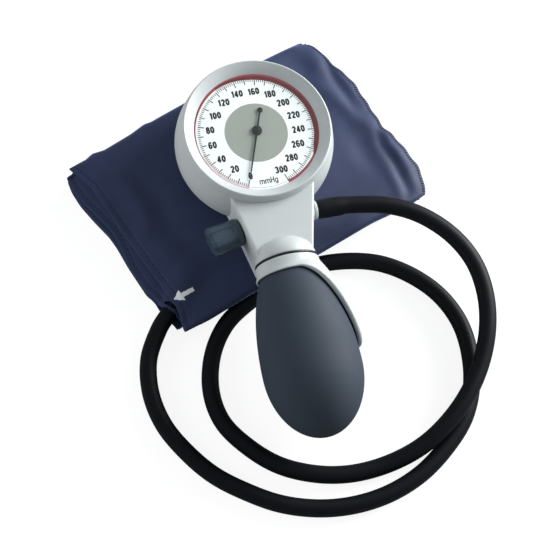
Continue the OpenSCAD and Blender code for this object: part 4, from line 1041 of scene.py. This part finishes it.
def egg(z):
    """Radius of the bulb at a distance below the dial's centre: half an ellipse above its widest
    line and a shorter one below."""
    share = np.where(z < widest, (widest - z) / bulb_up, (z - widest) / bulb_down)
    return bulb_r * np.sqrt(np.clip(1 - share**2, 0, 1))


def egg_profile(start, inset):
    """Points of the bulb's outline from a height to its lower pole, evenly spaced in angle."""
    r, up, down = bulb_r - inset, bulb_up - inset, bulb_down - inset
    a = np.linspace(math.acos((widest - start) / up), np.pi / 2, 48)
    b = np.linspace(0, np.pi / 2, 36)[1:]
    return np.vstack([np.stack([r * np.sin(a), widest - up * np.cos(a)], 1),
                      np.stack([r * np.cos(b), widest + down * np.sin(b)], 1)])


bulb_rubber = moulded("bulb_rubber", (0.034, 0.046, 0.064), 0.7, grains=2600, depth=0.10,
                      Specular_IOR_Level=0.28)
outside, inside = egg_profile(65.1, 0), egg_profile(68.0, 2.2)
mouth = [(8.7, 69.5), (8.7, 76.8), (8.5, 77), (6.5, 77), (6.5, 65.2), (6.8, 65.1)]
bulb_profile = np.vstack([[(0.0, 142.4)], inside[::-1][1:], mouth, outside])
bulb_skin = quads_of(down_axis(turned(bulb_profile, 160)))
bulb = make_piece("bulb_shell", [bulb_skin], bulb_rubber)
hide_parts("bulb")
ring_rubber = moulded("ring_rubber", (0.008, 0.008, 0.009), 0.4, shade=0.2)
collar_r = 14.55
ring_profile = rounded([(7, 62.92), (collar_r, 62.92), (collar_r, 63.88), (7, 63.88)],
                       [0.1, 0.42, 0.42, 0.1])
ring_skin = quads_of(down_axis(turned(ring_profile, 144)))
seal_ring = make_piece("seal_ring", [ring_skin], ring_rubber)
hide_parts("neck_seal_ring")


# The spoon lever: a collar that turns round the bulb's neck and runs out into a curved arm, which
# the palm presses on. Its rim is thick and round.
def lever_skin():
    """At each angle round the axis, a closed section: the lid, the outer wall, a round rim and the
    inner wall. The rim's height comes from a table of the arm's outline, smoothed round the axis,
    and the wall thickens from the collar to the arm."""
    a = np.radians(np.linspace(-180, 180, 361))
    off = np.abs(np.degrees(a))
    low = np.interp(off, [0, 8, 15, 22, 29, 36, 43, 51, 59, 67, 76, 86, 180],
                    [106.6, 106.2, 105, 102.6, 99, 94.5, 88.5, 82, 77, 73.6, 71.4, 70, 70])
    kernel = np.exp(-(np.arange(-12, 13) / 4.5) ** 2)
    low = np.convolve(np.concatenate([low[-13:-1], low, low[1:13]]), kernel / kernel.sum(), "valid")
    arm = ramp(108 - off, 0, 50)
    arm = arm * arm * (3 - 2 * arm)
    k = np.linspace(0, 1, 46)[:, None]
    top = 65.0
    z = top + (low - top) * k
    wall = 0.55 + arm * 1.35
    inner = np.maximum(egg(np.maximum(z, 65.1)) + 0.45 + 0.3 * arm, 7.2)
    outer = inner + wall
    flare = np.minimum(collar_r + 0.055 * (z - top) ** 1.15, outer + 3.2)
    # The greater of the two, with the step between them rounded off, and a roll along the rim.
    outer = 0.5 * (outer + flare + np.sqrt((outer - flare) ** 2 + 0.25))
    outer = outer + 0.35 * np.exp(-((z - low) / 1.5) ** 2)
    half = (outer[-1] - inner[-1]) / 2
    b = np.linspace(0, np.pi, 11)[1:-1, None]
    rim_r = (outer[-1] + inner[-1]) / 2 + half * np.cos(b)
    rim_z = low + half * np.sin(b)
    c = np.linspace(np.pi / 2, 0, 6)[:, None]
    level, bore, soft = np.ones(len(a)), 7.1, 0.7
    lid_r = np.vstack([bore * level, 10.5 * level, outer[0] - soft + soft * np.cos(c)])
    lid_z = np.vstack([64.02 * level, 64.02 * level, 64.72 - soft * np.sin(c) + 0 * low])
    r = np.vstack([lid_r, outer, rim_r, inner[::-1], 10.8 * level, bore * level, lid_r[:1]])
    z = np.vstack([lid_z, z, rim_z, z[::-1], 64.9 * level, 64.9 * level, lid_z[:1]])
    face = a[None, :] - math.radians(10)
    return np.stack([r * np.cos(face), r * np.sin(face), z], -1)


lever = make_piece("lever_shell", [quads_of(down_axis(lever_skin()))], shell_plastic, body="lever",
                   sharp=50)
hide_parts("spoon")
